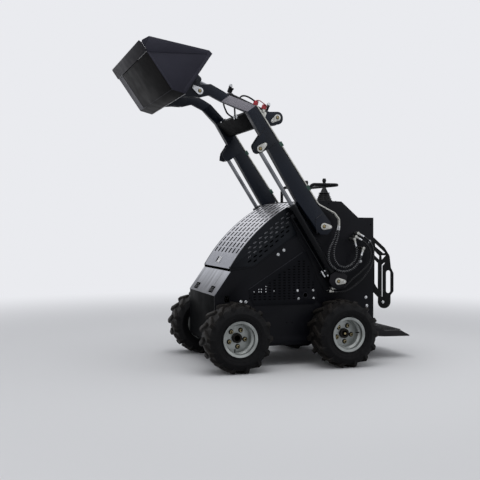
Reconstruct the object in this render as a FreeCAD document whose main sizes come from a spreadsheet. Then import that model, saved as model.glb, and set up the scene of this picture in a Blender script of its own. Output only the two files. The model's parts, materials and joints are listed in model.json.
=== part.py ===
import FreeCAD, Part
import math
import os
from FreeCAD import Placement, Rotation, Vector

# Compact stand-on wheeled loader, arms raised, bucket rolled back.
# X forward, Y to the machine's left, Z up, millimetres.
# Outlines are measured from the front axle, X = 0 there, and the ground, Z = 0.
# The sub-parts' placements move them by front_axle_x, so the origin is under the middle.

doc = FreeCAD.newDocument("StandOnLoader")
sheet = doc.addObject("Spreadsheet::Sheet", "Sizes")

driving_sizes = [
    # alias, value
    ("front_axle_x", 368.3),
    ("wheelbase", 777.0),
    ("wheel_side_gap", 7.7),
    ("tyre_radius", 228.5),
    ("tyre_half_width", 118.0),
    ("tread_depth", 17.0),
    ("lug_count", 14),
    ("lug_thickness", 27.0),
    ("lug_lean", 26.0),
    ("bead_radius", 105.3),
    ("rim_lip_radius", 118.0),
    ("rim_half_width", 108.0),
    ("rim_sheet", 4.0),
    ("disc_offset", 9.0),
    ("disc_thickness", 8.0),
    ("stud_circle_radius", 57.15),
    ("stud_radius", 6.0),
    ("stud_count", 5),
    ("hub_flange_radius", 75.0),
    ("hub_flange_thickness", 12.0),
    ("axle_shaft_radius", 20.0),
    ("running_clearance", 0.05),
    ("seat_clearance", 0.3),
    ("motor_boss_radius", 44.0),
    ("motor_boss_reach", 46.0),
    ("body_half_width", 324.0),
    ("frame_plate", 8.0),
    ("belly_z", 140.0),
    ("nose_x", 111.0),
    ("rear_x", -1082.0),
    ("hood_side_gap", 5.0),
    ("hood_sheet", 3.0),
    ("hood_hinge_x", -484.0),
    ("hood_hinge_z", 1112.0),
    ("hood_pin_radius", 5.0),
    ("grille_border", 13.0),
    ("front_plate_sheet", 4.0),
    ("lamp_size", 50.0),
    ("lamp_y", 190.0),
    ("door_sheet", 3.0),
    ("tower_plate", 6.0),
    ("console_sheet", 4.0),
    ("arm_side_gap", 17.0),
    ("arm_thickness", 50.0),
    ("arm_doubler", 6.0),
    ("pivot_x", -659.0),
    ("pivot_z", 964.0),
    ("pivot_pin_radius", 19.0),
    ("lift_pin_x", -187.0),
    ("lift_pin_z", 1490.0),
    ("cylinder_pin_radius", 14.0),
    ("cylinder_base_x", -770.0),
    ("cylinder_base_z", 580.0),
    ("cylinder_eye_width", 40.0),
    ("lift_barrel_radius", 30.0),
    ("lift_barrel_length", 629.0),
    ("lift_rod_radius", 14.0),
    ("base_lug_thickness", 8.0),
    ("goose_outer_y", 247.0),
    ("goose_thickness", 30.0),
    ("bucket_pin_x", 201.0),
    ("bucket_pin_z", 1883.0),
    ("bucket_pin_radius", 16.0),
    ("ear_pin_x", -446.0),
    ("ear_pin_z", 1756.0),
    ("tilt_ear_gap", 68.0),
    ("tilt_ear_thickness", 12.0),
    ("tilt_barrel_radius", 28.0),
    ("tilt_barrel_length", 400.0),
    ("tilt_rod_radius", 14.0),
    ("tilt_base_eye_width", 60.0),
    ("tilt_rod_eye_width", 56.0),
    ("tilt_rod_eye_radius", 20.0),
    ("bucket_half_width", 520.0),
    ("bucket_sheet", 5.0),
    ("bucket_side_plate", 8.0),
    ("bucket_ear_plate", 8.0),
    ("bucket_floor_angle", 55.0),
    ("heel_x", 455.0),
    ("heel_z", 1839.0),
    ("cutting_edge_plate", 12.0),
    ("platform_half_width", 270.0),
    ("platform_top_z", 201.0),
    ("platform_hinge_x", -1106.0),
    ("platform_hinge_z", 238.0),
    ("platform_pin_radius", 8.0),
    ("guard_plate", 8.0),
    ("handlebar_radius", 11.0),
    ("tube_radius", 6.0),
    ("hose_radius", 6.0),
]

for row, (alias, value) in enumerate(driving_sizes, start=1):
    cell = "B%d" % row
    sheet.set("A%d" % row, alias)
    sheet.set(cell, str(value))
    sheet.setAlias(cell, alias)
doc.recompute()


def size(alias):
    return float(sheet.get(alias))


# Sub-parts by label, in the order they are made
sub_parts = {}


def place_on_frame(item):
    item.setExpression("Placement.Base.x", "Sizes.front_axle_x")
    sub_parts[item.Label] = item
    return item


def new_body(label):
    body = doc.addObject("PartDesign::Body", label)
    body.Label = label
    return place_on_frame(body)


def shape_part(label, shape):
    item = doc.addObject("Part::Feature", label)
    item.Label = label
    item.Shape = Part.makeCompound(shape.Solids)
    return place_on_frame(item)


def origin_plane(body, role):
    for item in body.Origin.OriginFeatures:
        if item.Role == role:
            return item


def corner_arc(before, corner, after, radius):
    # Tangent arc of a rounded corner: its start, middle and end
    to_before = (before - corner).normalize()
    to_after = (after - corner).normalize()
    half_angle = to_before.getAngle(to_after) / 2
    reach = radius / math.tan(half_angle)
    bisector = (to_before + to_after).normalize()
    centre = corner + bisector * (radius / math.sin(half_angle))
    start = corner + to_before * reach
    end = corner + to_after * reach
    return start, centre - bisector * radius, end


def outline_edges(points):
    # Closed outline of lines; a third number in a point rounds that corner
    corners = [Vector(p[0], p[1], 0) for p in points]
    count = len(points)
    starts, ends, arcs = [], [], []
    for i, point in enumerate(points):
        if len(point) > 2:
            start, middle, end = corner_arc(corners[i - 1], corners[i], corners[(i + 1) % count], point[2])
            arcs.append(Part.Arc(start, middle, end))
            starts.append(start)
            ends.append(end)
        else:
            starts.append(corners[i])
            ends.append(corners[i])
    lines = []
    for i in range(count):
        first, second = ends[i], starts[(i + 1) % count]
        if first.distanceToPoint(second) > 0.001:
            lines.append(Part.LineSegment(first, second))
    return lines + arcs


def circle_edges(x, y, radius):
    return [Part.Circle(Vector(x, y, 0), Vector(0, 0, 1), radius)]


def box_outline(x_low, x_high, y_low, y_high):
    return [(x_low, y_low), (x_high, y_low), (x_high, y_high), (x_low, y_high)]


def sketch_on(body, role, edges, offset="0"):
    sketch = body.newObject("Sketcher::SketchObject", body.Label + "_sketch")
    sketch.AttachmentSupport = (origin_plane(body, role), [""])
    sketch.MapMode = "FlatFace"
    sketch.setExpression("AttachmentOffset.Base.z", offset)
    sketch.addGeometry(edges, False)
    return sketch


def pad(body, edges, near, thick, role="XZ_Plane"):
    # From Y = near towards -Y on the side view; from X or Z = near upwards on the others
    offset = "-(%s)" % near if role == "XZ_Plane" else near
    feature = body.newObject("PartDesign::Pad", body.Label + "_pad")
    feature.Profile = sketch_on(body, role, edges, offset)
    feature.setExpression("Length", thick)
    doc.recompute()
    return feature


def pocket(body, edges, near, deep, role="XZ_Plane"):
    before = body.Shape.Volume
    offset = "-(%s)" % near if role == "XZ_Plane" else near
    feature = body.newObject("PartDesign::Pocket", body.Label + "_pocket")
    feature.Profile = sketch_on(body, role, edges, offset)
    feature.setExpression("Length", deep)
    feature.Reversed = True
    doc.recompute()
    if not body.Shape.Volume < before - 0.01:
        raise RuntimeError("pocket of %s cuts nothing" % body.Label)
    return feature


def revolve(body, edges, role="XZ_Plane", axis="H_Axis"):
    feature = body.newObject("PartDesign::Revolution", body.Label + "_turn")
    sketch = sketch_on(body, role, edges)
    feature.Profile = sketch
    feature.ReferenceAxis = (sketch, [axis])
    feature.Angle = 360
    doc.recompute()
    return feature


def mirrored_part(source, label):
    # The right-hand twin of a left-hand sub-part
    twin = doc.addObject("Part::Feature", label)
    twin.Label = label
    local = source.Shape.copy()
    local.Placement = Placement()
    twin.Shape = Part.makeCompound(local.mirror(Vector(0, 0, 0), Vector(0, 1, 0)).Solids)
    return place_on_frame(twin)


def two_sides(name, build):
    # One sub-part with its left and right solids
    left = build(name + "_left_side")
    doc.recompute()
    del sub_parts[left.Label]
    local = left.Shape.copy()
    local.Placement = Placement()
    return shape_part(name, Part.makeCompound(both_sides([local])))


def side_pair(name, build):
    left = build(name + "_left")
    doc.recompute()
    return left, mirrored_part(left, name + "_right")


def slab(points, y_low, y_high):
    # Solid with this side outline between two Y values
    edges = [g.toShape() for g in outline_edges(points)]
    flat = Part.Face(Part.Wire(Part.__sortEdges__(edges)))
    solid = flat.extrude(Vector(0, 0, y_high - y_low))
    solid.rotate(Vector(0, 0, 0), Vector(1, 0, 0), 90)
    solid.translate(Vector(0, y_high, 0))
    return solid


def bar_y(x, z, radius, y_low, y_high):
    return Part.makeCylinder(radius, y_high - y_low, Vector(x, y_low, z), Vector(0, 1, 0))


def both_sides(shapes):
    twins = [s.mirror(Vector(0, 0, 0), Vector(0, 1, 0)) for s in shapes]
    return list(shapes) + twins


def joined(shapes):
    result = shapes[0]
    if len(shapes) > 1:
        result = result.multiFuse(shapes[1:]).removeSplitter()
    return result


def flag_plate(x, z, angle, y_low, thick):
    # Teardrop pin retainer, its tail pointing at this angle from +X
    big, small, reach = 24.0, 13.0, 46.0
    turn = math.radians(angle)
    head = bar_y(x, z, big, y_low, y_low + thick)
    tip_x, tip_z = x + reach * math.cos(turn), z + reach * math.sin(turn)
    tip = bar_y(tip_x, tip_z, small, y_low, y_low + thick)
    lean = math.acos((big - small) / reach)
    corners = []
    for centre_x, centre_z, radius, sign in ((x, z, big, 1), (tip_x, tip_z, small, 1),
                                             (tip_x, tip_z, small, -1), (x, z, big, -1)):
        a = turn + sign * lean
        corners.append((centre_x + radius * math.cos(a), centre_z + radius * math.sin(a)))
    return joined([head, tip, slab(corners, y_low, y_low + thick)])


# Values worked out from the sheet
body_y = size("body_half_width")
plate = size("frame_plate")
inner_y = body_y - plate
tower_outer_y = body_y + size("tower_plate")
arm_in = body_y + size("arm_side_gap")
arm_out = arm_in + size("arm_thickness")
arm_y = (arm_in + arm_out) / 2
eye_out = arm_y + size("cylinder_eye_width") / 2
motor_end_y = body_y + size("motor_boss_reach")
wheel_y = body_y + size("wheel_side_gap") + size("tyre_half_width")
hood_half = body_y - size("hood_side_gap")
grille_half = hood_half - size("grille_border")
arm_middle = "Sizes.body_half_width + Sizes.arm_side_gap + Sizes.arm_thickness / 2"
pivot = (size("pivot_x"), size("pivot_z"))
lift_pin = (size("lift_pin_x"), size("lift_pin_z"))
lift_base = (size("cylinder_base_x"), size("cylinder_base_z"))
bucket_pin = (size("bucket_pin_x"), size("bucket_pin_z"))
ear_pin = (size("ear_pin_x"), size("ear_pin_z"))
clear = size("running_clearance")
seat = size("seat_clearance")
nose_x = size("nose_x")
rear_x = size("rear_x")
belly_z = size("belly_z")


# Main frame: two side plates and one bent sheet between them for nose, belly and rear wall
nose_top_z = 493.0
slope_top = (-2.0, 655.0)
nose_back_z = nose_top_z + plate * (slope_top[1] - nose_top_z) / (nose_x - slope_top[0])
frame_outline = [
    (nose_x, 172), (nose_x, nose_top_z), slope_top, (-171, 678), (-506, 905), (-506, 1139),
    (-627, 1149), (-829, 1141), (-960, 1028), (rear_x, 1027), (rear_x, belly_z), (78, belly_z)]
wrap_outline = [
    (nose_x, 172), (nose_x, nose_top_z), (nose_x - plate, nose_back_z), (nose_x - plate, 175),
    (75, belly_z + plate), (rear_x + plate, belly_z + plate), (rear_x + plate, 1027), (rear_x, 1027),
    (rear_x, belly_z), (78, belly_z)]
tow_hole = box_outline(6, 40, 448, 491)
tie_down_hole = (-551.0, 484.0, 14.0)


def build_side_plate(label):
    body = new_body(label)
    pad(body, outline_edges(frame_outline), "Sizes.body_half_width", "Sizes.frame_plate")
    openings = outline_edges(tow_hole) + circle_edges(*tie_down_hole)
    boss = size("motor_boss_radius") + seat
    for axle_x in (0, -size("wheelbase")):
        openings += circle_edges(axle_x, size("tyre_radius"), boss)
    pocket(body, openings, "Sizes.body_half_width", "Sizes.frame_plate")
    return body


two_sides("side_plates", build_side_plate)


def build_frame():
    body = new_body("main_frame")
    inside = "Sizes.body_half_width - Sizes.frame_plate"
    pad(body, outline_edges(wrap_outline), inside, "2 * (%s)" % inside)
    return body


build_frame()


# Bright plate on the sloping nose, with two lamp windows
slope_run = slope_top[0] - nose_x
slope_rise = slope_top[1] - nose_top_z
slope_length = math.hypot(slope_run, slope_rise)
slope_angle = math.degrees(math.atan2(slope_rise, -slope_run))


def on_slope(item, lift):
    # Local X up the slope from its foot, local Z out of the plate
    turn = Rotation(Vector(0, 1, 0), slope_angle)
    half = Rotation(Vector(0, 0, 1), 180)
    item.Placement = Placement(Vector(0, 0, 0), turn.multiply(half))
    out = item.Placement.Rotation.multVec(Vector(0, 0, lift))
    item.setExpression("Placement.Base.x", "Sizes.front_axle_x + Sizes.nose_x + %f" % out.x)
    item.Placement.Base.z = nose_top_z + out.z
    return item


lamp_centre = 42.0


def build_front_plate():
    body = new_body("front_plate")
    half = body_y
    pad(body, outline_edges(box_outline(0, slope_length, -half, half)), "0", "Sizes.front_plate_sheet", "XY_Plane")
    window = size("lamp_size") / 2
    for side in (-1, 1):
        y = side * size("lamp_y")
        edges = outline_edges([p + (4,) for p in box_outline(lamp_centre - window, lamp_centre + window,
                                                             y - window, y + window)])
        pocket(body, edges, "0", "Sizes.front_plate_sheet", "XY_Plane")
    return on_slope(body, 0.0)


build_front_plate()


def build_lamps():
    lamps = []
    half = size("lamp_size") / 2 - seat
    glass = half - 6
    for side in (-1, 1):
        y = side * size("lamp_y")
        case = Part.makeBox(2 * half, 2 * half, 24, Vector(lamp_centre - half, y - half, -22))
        upright = [e for e in case.Edges if abs(e.tangentAt(e.FirstParameter).z) > 0.9]
        case = case.makeFillet(3, upright)
        case = case.cut(Part.makeBox(2 * glass, 2 * glass, 6, Vector(lamp_centre - glass, y - glass, -4)))
        lamps.append(case)
    turned = Part.makeCompound(lamps)
    turned.rotate(Vector(0, 0, 0), Vector(0, 0, 1), 180)
    turned.rotate(Vector(0, 0, 0), Vector(0, 1, 0), slope_angle)
    turned.translate(Vector(nose_x, 0, nose_top_z))
    return shape_part("lamps", turned)


build_lamps()


# Side doors with rows of cooling slots below the sloping fold
door_outline = [(-131, 536, 12), (-527, 785, 12), (-562, 785, 12), (-640, 560, 12), (-640, 445, 12),
                (-615, 420, 6), (-168, 420, 10), (-142, 470, 10)]


door_slot = (18.0, 6.5)
door_slot_pitch = (36.3, 18.5)
door_slot_start = (-176.0, 461.0)


def door_slots():
    # Rows below the fold, clear of the rear edge, the tie-down hole and the small bolts
    fold_start, fold_end, rear_top, rear_low = [p[:2] for p in door_outline[:4]]
    fold_rise = (fold_end[1] - fold_start[1]) / (fold_end[0] - fold_start[0])
    rear_run = (rear_top[0] - rear_low[0]) / (rear_top[1] - rear_low[1])
    slots = []
    for column in range(13):
        x = door_slot_start[0] - column * door_slot_pitch[0]
        for row in range(15):
            z = door_slot_start[1] + row * door_slot_pitch[1]
            below_fold = z < min(fold_start[1] + fold_rise * (x - fold_start[0]), fold_end[1]) - 48
            before_rear = x > rear_low[0] + rear_run * (z - rear_low[1]) + 19
            near_hole = x < tie_down_hole[0] + 66 and z < tie_down_hole[1] + 46
            near_bolts = column in (1, 2) and z > 505
            if below_fold and before_rear and not near_hole and not near_bolts:
                slots.append(box_outline(x - door_slot[0] / 2, x + door_slot[0] / 2,
                                         z - door_slot[1] / 2, z + door_slot[1] / 2))
    return slots


def build_door(label):
    body = new_body(label)
    face = "Sizes.body_half_width + Sizes.door_sheet"
    pad(body, outline_edges(door_outline), face, "Sizes.door_sheet")
    hole_x, hole_z, hole_radius = tie_down_hole
    openings = circle_edges(hole_x, hole_z, hole_radius + 3)
    for slot in door_slots():
        openings += outline_edges(slot)
    pocket(body, openings, face, "Sizes.door_sheet")
    return body


two_sides("side_doors", build_door)


# Tower plates outside the frame, which carry the arm pivots and the cylinder lugs
tower_outline = [(-417, 1050, 15), (-509, 866), (-568, 780), (-648, 590), (-700, 505, 20), (-850, 505, 40),
                 (-880, 640, 40), (-790, 1060, 40), (-700, 1120, 30), (-470, 1125, 30)]
lug_outline = [(-722, 626, 5), (-781, 664, 3), (-840, 616, 3), (-814, 528, 42), (-726, 523, 42)]
web_outline = [(-781, 664), (-840, 616), (-835, 610), (-776, 658)]


def build_tower(label):
    body = new_body(label)
    outer = "Sizes.body_half_width + Sizes.tower_plate"
    lug_face = arm_middle + " + Sizes.cylinder_eye_width / 2 + 3 + Sizes.base_lug_thickness"
    pad(body, outline_edges(tower_outline), outer, "Sizes.tower_plate")
    pad(body, outline_edges(web_outline), lug_face, "(%s) - (%s)" % (lug_face, outer))
    pad(body, outline_edges(lug_outline), lug_face, "Sizes.base_lug_thickness")
    return body


two_sides("tower_plates", build_tower)


# Pins of the arm pivots and of the lift cylinders' lower eyes
def build_frame_pins():
    pivot_end = arm_out + size("arm_doubler") + 3
    pins = [bar_y(pivot[0], pivot[1], size("pivot_pin_radius"), tower_outer_y, pivot_end),
            flag_plate(pivot[0], pivot[1], 184, pivot_end, 5.0)]
    lug_in = eye_out + 3
    lug_out = lug_in + size("base_lug_thickness")
    base = [bar_y(lift_base[0], lift_base[1], size("cylinder_pin_radius"), tower_outer_y, lug_in),
            flag_plate(lift_base[0], lift_base[1], 184, lug_out, 5.0)]
    return shape_part("frame_pins", Part.makeCompound(both_sides([joined(pins), base[0], base[1]])))


build_frame_pins()


# Console top over the tower, bent from one sheet
def offset_strip(points, sheet_thickness):
    # Closed outline of a bent sheet that lies under this line of points, given towards -X
    upper = [Vector(x, z, 0) for x, z in points]
    lower = []
    for i, point in enumerate(upper):
        directions = []
        if i > 0:
            directions.append((point - upper[i - 1]).normalize())
        if i < len(upper) - 1:
            directions.append((upper[i + 1] - point).normalize())
        mean = directions[0] if len(directions) == 1 else (directions[0] + directions[1]).normalize()
        normal = Vector(-mean.y, mean.x, 0)
        stretch = normal.dot(Vector(-directions[0].y, directions[0].x, 0))
        lower.append(point + normal * (sheet_thickness / stretch))
    return [(v.x, v.y) for v in upper] + [(v.x, v.y) for v in reversed(lower)]


console_line = [(-506, 1139), (-627, 1149), (-829, 1141), (-960, 1028), (rear_x + plate + 0.3, 1027)]


def build_console():
    body = new_body("console_top")
    strip = offset_strip(console_line, size("console_sheet"))
    inside = "Sizes.body_half_width - Sizes.frame_plate"
    pad(body, outline_edges(strip), inside, "2 * (%s)" % inside)
    return body


build_console()


def build_bulkhead():
    body = new_body("bulkhead")
    inside = "Sizes.body_half_width - Sizes.frame_plate"
    pad(body, outline_edges(box_outline(-512, -506, belly_z + plate, 1135)), inside, "2 * (%s)" % inside)
    return body


build_bulkhead()


def build_engine():
    body = new_body("engine")
    outline = [(-110, belly_z + plate), (-110, 430), (-150, 560, 20), (-470, 620, 20), (-470, belly_z + plate)]
    pad(body, outline_edges(outline), "210", "420")
    return body


build_engine()


# Wheel motors: a flange on the side plate and a boss towards the wheel
def build_wheel_motors():
    motors = []
    for axle_x in (0, -size("wheelbase")):
        z = size("tyre_radius")
        boss = bar_y(axle_x, z, size("motor_boss_radius"), inner_y - 70, motor_end_y)
        flange = bar_y(axle_x, z, 68, body_y, body_y + 10)
        bore = bar_y(axle_x, z, size("axle_shaft_radius") + clear, body_y - 20, motor_end_y)
        motors.append(joined([boss, flange]).cut(bore))
    return shape_part("wheel_motors", Part.makeCompound(both_sides(motors)))


build_wheel_motors()


# Rear guard plates with the cut-out pattern
guard_outline = [(rear_x, 887), (-1093, 878), (-1174, 809, 20), (-1213, 752, 40), (-1224, 664, 10),
                 (-1245, 625, 10), (-1245, 492, 10), (-1221, 466, 10), (-1221, 372, 48),
                 (-1118, 372, 48), (-1122, 452), (rear_x, 492)]
guard_openings = [
    [(-1095, 846), (-1180, 773), (-1164, 769), (-1097, 819)],
    [(-1091, 790), (-1132, 752), (-1130, 723), (-1091, 756)],
    [(-1147, 755), (-1185, 754), (-1150, 721)],
    [(-1091, 727), (-1121, 699), (-1120, 510), (-1091, 553)],
    [(-1184, 646, 18), (-1222, 646, 18), (-1222, 481, 18), (-1184, 481, 18)],
    [(-1150, 456), (-1158, 456), (-1158, 680), (-1174, 694), (-1179, 702), (-1166, 700), (-1150, 686)]]


def build_guard(label):
    body = new_body(label)
    pad(body, outline_edges(guard_outline), "Sizes.body_half_width", "Sizes.guard_plate")
    for opening in guard_openings:
        pocket(body, outline_edges(opening), "Sizes.body_half_width", "Sizes.guard_plate")
    return body


two_sides("rear_guards", build_guard)


# Platform, its hinge and the folding step itself
hinge_x, hinge_z = size("platform_hinge_x"), size("platform_hinge_z")


lug_out_y = size("platform_half_width") - 102


def build_platform_bracket():
    outline = [(rear_x, 195), (rear_x, 285), (hinge_x - 4, hinge_z + 18, 14), (hinge_x - 14, hinge_z - 16, 14)]
    lugs = both_sides([slab(outline, lug_out_y - 8, lug_out_y)])
    pin = bar_y(hinge_x, hinge_z, size("platform_pin_radius"), -lug_out_y - 4, lug_out_y + 4)
    return shape_part("platform_bracket", joined(lugs + [pin]))


build_platform_bracket()


def build_platform():
    body = new_body("platform")
    half = size("platform_half_width")
    step_z = size("platform_top_z")
    outline = [(hinge_x + 8, 168), (hinge_x + 13, hinge_z - 10, 6), (hinge_x + 4, hinge_z + 13, 10),
               (hinge_x - 34, hinge_z - 4, 20), (-1206, step_z, 50), (-1336, step_z, 40),
               (-1366, 184, 30), (-1408, 163, 4), (-1406, 156, 2), (-1200, 160)]
    pad(body, outline_edges(outline), "Sizes.platform_half_width", "2 * Sizes.platform_half_width")
    notch = outline_edges(box_outline(hinge_x - 40, hinge_x + 20, hinge_z - 42, hinge_z + 40))
    for near in (lug_out_y + 2, -lug_out_y + 10):
        pocket(body, notch, "%f" % near, "12")
    pocket(body, circle_edges(hinge_x, hinge_z, size("platform_pin_radius") + clear), "%f" % half, "%f" % (2 * half))
    return body


build_platform()


# Controls: two booted levers and the loop handlebar, their feet trimmed to the console
lever_x = -766.0
lever_y = 165.0


def on_console(shape):
    under = slab(console_line[:4] + [(console_line[3][0], 900), (console_line[0][0], 900)], -body_y, body_y)
    return shape.cut(under)


def build_levers():
    up = Vector(0, 0, 1)
    lever = joined([Part.makeCone(61, 34, 68, Vector(lever_x, lever_y, 1134), up),
                    Part.makeCone(36, 31, 6, Vector(lever_x, lever_y, 1202), up),
                    Part.makeCone(30, 11, 39, Vector(lever_x, lever_y, 1208), up),
                    Part.makeCylinder(6, 40, Vector(lever_x, lever_y, 1245), up),
                    Part.makeCone(9, 15, 26, Vector(lever_x, lever_y, 1272), up),
                    Part.makeCone(15, 10, 14, Vector(lever_x, lever_y, 1298), up)])
    return shape_part("control_levers", Part.makeCompound(both_sides([on_console(lever)])))


build_levers()


def rounded_path(points, radii):
    # Straight runs joined by tangent arcs
    edges = []
    cursor = points[0]
    for i in range(1, len(points) - 1):
        start, middle, end = corner_arc(points[i - 1], points[i], points[i + 1], radii[i - 1])
        edges.append(Part.makeLine(cursor, start))
        edges.append(Part.Arc(start, middle, end).toShape())
        cursor = end
    edges.append(Part.makeLine(cursor, points[-1]))
    return Part.Wire(edges)


def run_radii(points):
    radii = []
    for i in range(1, len(points) - 1):
        before = points[i] - points[i - 1]
        after = points[i + 1] - points[i]
        turn = before.getAngle(after)
        radii.append(0.45 * min(before.Length, after.Length) / math.tan(turn / 2))
    return radii


def round_bar(points, radius, radii=None):
    points = [Vector(*p) for p in points]
    path = rounded_path(points, radii or run_radii(points))
    start_face = Part.Wire([Part.makeCircle(radius, points[0], points[1] - points[0])])
    solid = path.makePipeShell([start_face], True, False)
    expected = math.pi * radius ** 2 * path.Length
    if abs(solid.Volume - expected) > 0.02 * expected:
        raise RuntimeError("round bar volume %.0f, expected %.0f" % (solid.Volume, expected))
    return solid


def build_handlebar():
    bar = size("handlebar_radius")
    front, rear, side, foot, top = -605, -840, 270, 1130, 1262
    loop = round_bar([(front, -side, foot), (front, -side, top), (rear, -side, top), (rear, side, top),
                      (front, side, top), (front, side, foot)], bar, [40, 60, 60, 40])
    return shape_part("handlebar", on_console(loop))


build_handlebar()


# Loader arms
arm_outline = [(-453, 1149), (-98, 1738), (-157, 1782), (-606, 1125), (-740, 960, 50), (-640, 885, 55),
               (-578, 988, 20)]
tail_doubler = [(-598, 1012, 8), (-650, 1052, 8), (-722, 985, 40), (-690, 905, 45), (-612, 912, 45)]
rod_ear = [(-226, 1636), (-180, 1572, 12), (-140, 1512, 28), (-168, 1444, 32), (-238, 1488, 4), (-300, 1540)]


def build_arm(label):
    body = new_body(label)
    face = arm_middle + " + Sizes.arm_thickness / 2"
    back = arm_middle + " - Sizes.arm_thickness / 2"
    pad(body, outline_edges(arm_outline), face, "Sizes.arm_thickness")
    pad(body, outline_edges(tail_doubler), face + " + Sizes.arm_doubler", "Sizes.arm_doubler")
    pad(body, outline_edges(rod_ear), face + " + Sizes.arm_doubler", "Sizes.arm_doubler")
    pad(body, outline_edges(rod_ear), back, "Sizes.arm_doubler")
    bore = circle_edges(pivot[0], pivot[1], size("pivot_pin_radius") + clear)
    pocket(body, bore, face + " + Sizes.arm_doubler", "Sizes.arm_thickness + 2 * Sizes.arm_doubler")
    return body


side_pair("arm", build_arm)


def cross_solid():
    outline = [(-105, 1735), (-155, 1772), (-240, 1655), (-187, 1645)]
    inner = [(-116, 1731), (-157, 1758), (-228, 1660), (-191, 1653)]
    return slab(outline, -arm_in, arm_in).cut(slab(inner, -arm_in + 8, arm_in - 8))


shape_part("cross_member", cross_solid())


# Front sections of the arms: a slanted box towards the middle, then a plate to the bucket pin
goose_outline = [(45, 1822), (-18, 1867), (31, 1895), (118, 1938, 20), (160, 1932, 20), (236, 1925, 34),
                 (246, 1848, 34), (200, 1841, 20), (128, 1861, 20)]


def build_goose(label):
    y_out, y_in = size("goose_outer_y"), size("goose_outer_y") - size("goose_thickness")
    low_end = Part.makePolygon([Vector(-98, arm_out, 1738), Vector(-157, arm_out, 1782), Vector(-157, arm_in, 1782),
                                Vector(-98, arm_in, 1738), Vector(-98, arm_out, 1738)])
    high_end = Part.makePolygon([Vector(45, y_out, 1822), Vector(-18, y_out, 1867), Vector(-18, y_in, 1867),
                                 Vector(45, y_in, 1822), Vector(45, y_out, 1822)])
    slanted = Part.makeLoft([low_end, high_end], True, True)
    front = slab(goose_outline, y_in, y_out)
    bore = bar_y(bucket_pin[0], bucket_pin[1], size("bucket_pin_radius") + clear, y_in - 1, y_out + 1)
    return shape_part(label, joined([slanted, front]).cut(bore))


side_pair("gooseneck", build_goose)


# Ears behind the cross member for the tilt cylinder's lower eye
tilt_ear_outline = [(-155, 1772), (-300, 1792, 60), (-490, 1802, 42), (-490, 1712, 42), (-330, 1688, 60),
                    (-240, 1655)]
tilt_in = size("tilt_ear_gap") / 2
tilt_out = tilt_in + size("tilt_ear_thickness")


def build_tilt_ears():
    ear = slab(tilt_ear_outline, tilt_in, tilt_out)
    return shape_part("tilt_ears", Part.makeCompound(both_sides([ear])))


build_tilt_ears()


# Pins that the arms carry: bucket pins, stubs at the lift rods' ears, and the tilt cylinder's lower pin
def build_boom_pins():
    ear_face = arm_out + size("arm_doubler")
    lift_stub = joined([bar_y(lift_pin[0], lift_pin[1], size("cylinder_pin_radius") + 4, ear_face, ear_face + 4),
                        flag_plate(lift_pin[0], lift_pin[1], 140, ear_face + 4, 5.0)])
    ear_flag = flag_plate(ear_pin[0], ear_pin[1], -35, tilt_out, 5.0)
    tilt_pin = bar_y(ear_pin[0], ear_pin[1], size("cylinder_pin_radius"), -tilt_in, tilt_in)
    return shape_part("boom_pins", Part.makeCompound(both_sides([lift_stub, ear_flag]) + [tilt_pin]))


build_boom_pins()


# Hard hydraulic lines up the back of each arm
def line_points(shift_y):
    return [(-782, arm_out - 4 + shift_y, 967), (-782, arm_out - 4 + shift_y, 1014),
            (-747, arm_out - 6 + shift_y, 1058), (-628, arm_y + 10 + shift_y, 1118),
            (-170, arm_y + 10 + shift_y, 1786)]


line_spacing = 16.0
clamp_places = (121.0, 479.0)


def build_lines():
    tubes = []
    for shift in (0, -line_spacing):
        tubes.append(round_bar(line_points(shift), size("tube_radius"), [25, 25, 60]))
    return shape_part("arm_lines", Part.makeCompound(both_sides(tubes)))


build_lines()


def build_line_clamps():
    # Split blocks on the arm's rear edge, bored for the two tubes
    run = Vector(arm_outline[2][0] - arm_outline[3][0], 0, arm_outline[2][1] - arm_outline[3][1]).normalize()
    rise = math.degrees(math.atan2(run.z, run.x))
    middle_y = arm_y + 10 - line_spacing / 2
    clamps = []
    for distance in clamp_places:
        block = Part.makeBox(34, 38, 24, Vector(-17, middle_y - 19, 0.2))
        block.rotate(Vector(0, 0, 0), Vector(0, 1, 0), -rise)
        block.translate(Vector(arm_outline[3][0], 0, arm_outline[3][1]) + run * distance)
        clamps.append(block)
    tubes = [round_bar(line_points(shift), size("tube_radius") + clear, [25, 25, 60]) for shift in (0, -line_spacing)]
    blocks = [clamp.cut(tubes[0]).cut(tubes[1]) for clamp in clamps]
    return shape_part("line_clamps", Part.makeCompound(both_sides(blocks)))


build_line_clamps()


# Lift cylinder: barrel and rod drawn along the cylinder's own axis, from the lower pin
lift_length = math.hypot(lift_pin[0] - lift_base[0], lift_pin[1] - lift_base[1])
lift_angle = math.degrees(math.atan2(lift_pin[1] - lift_base[1], lift_pin[0] - lift_base[0]))


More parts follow.
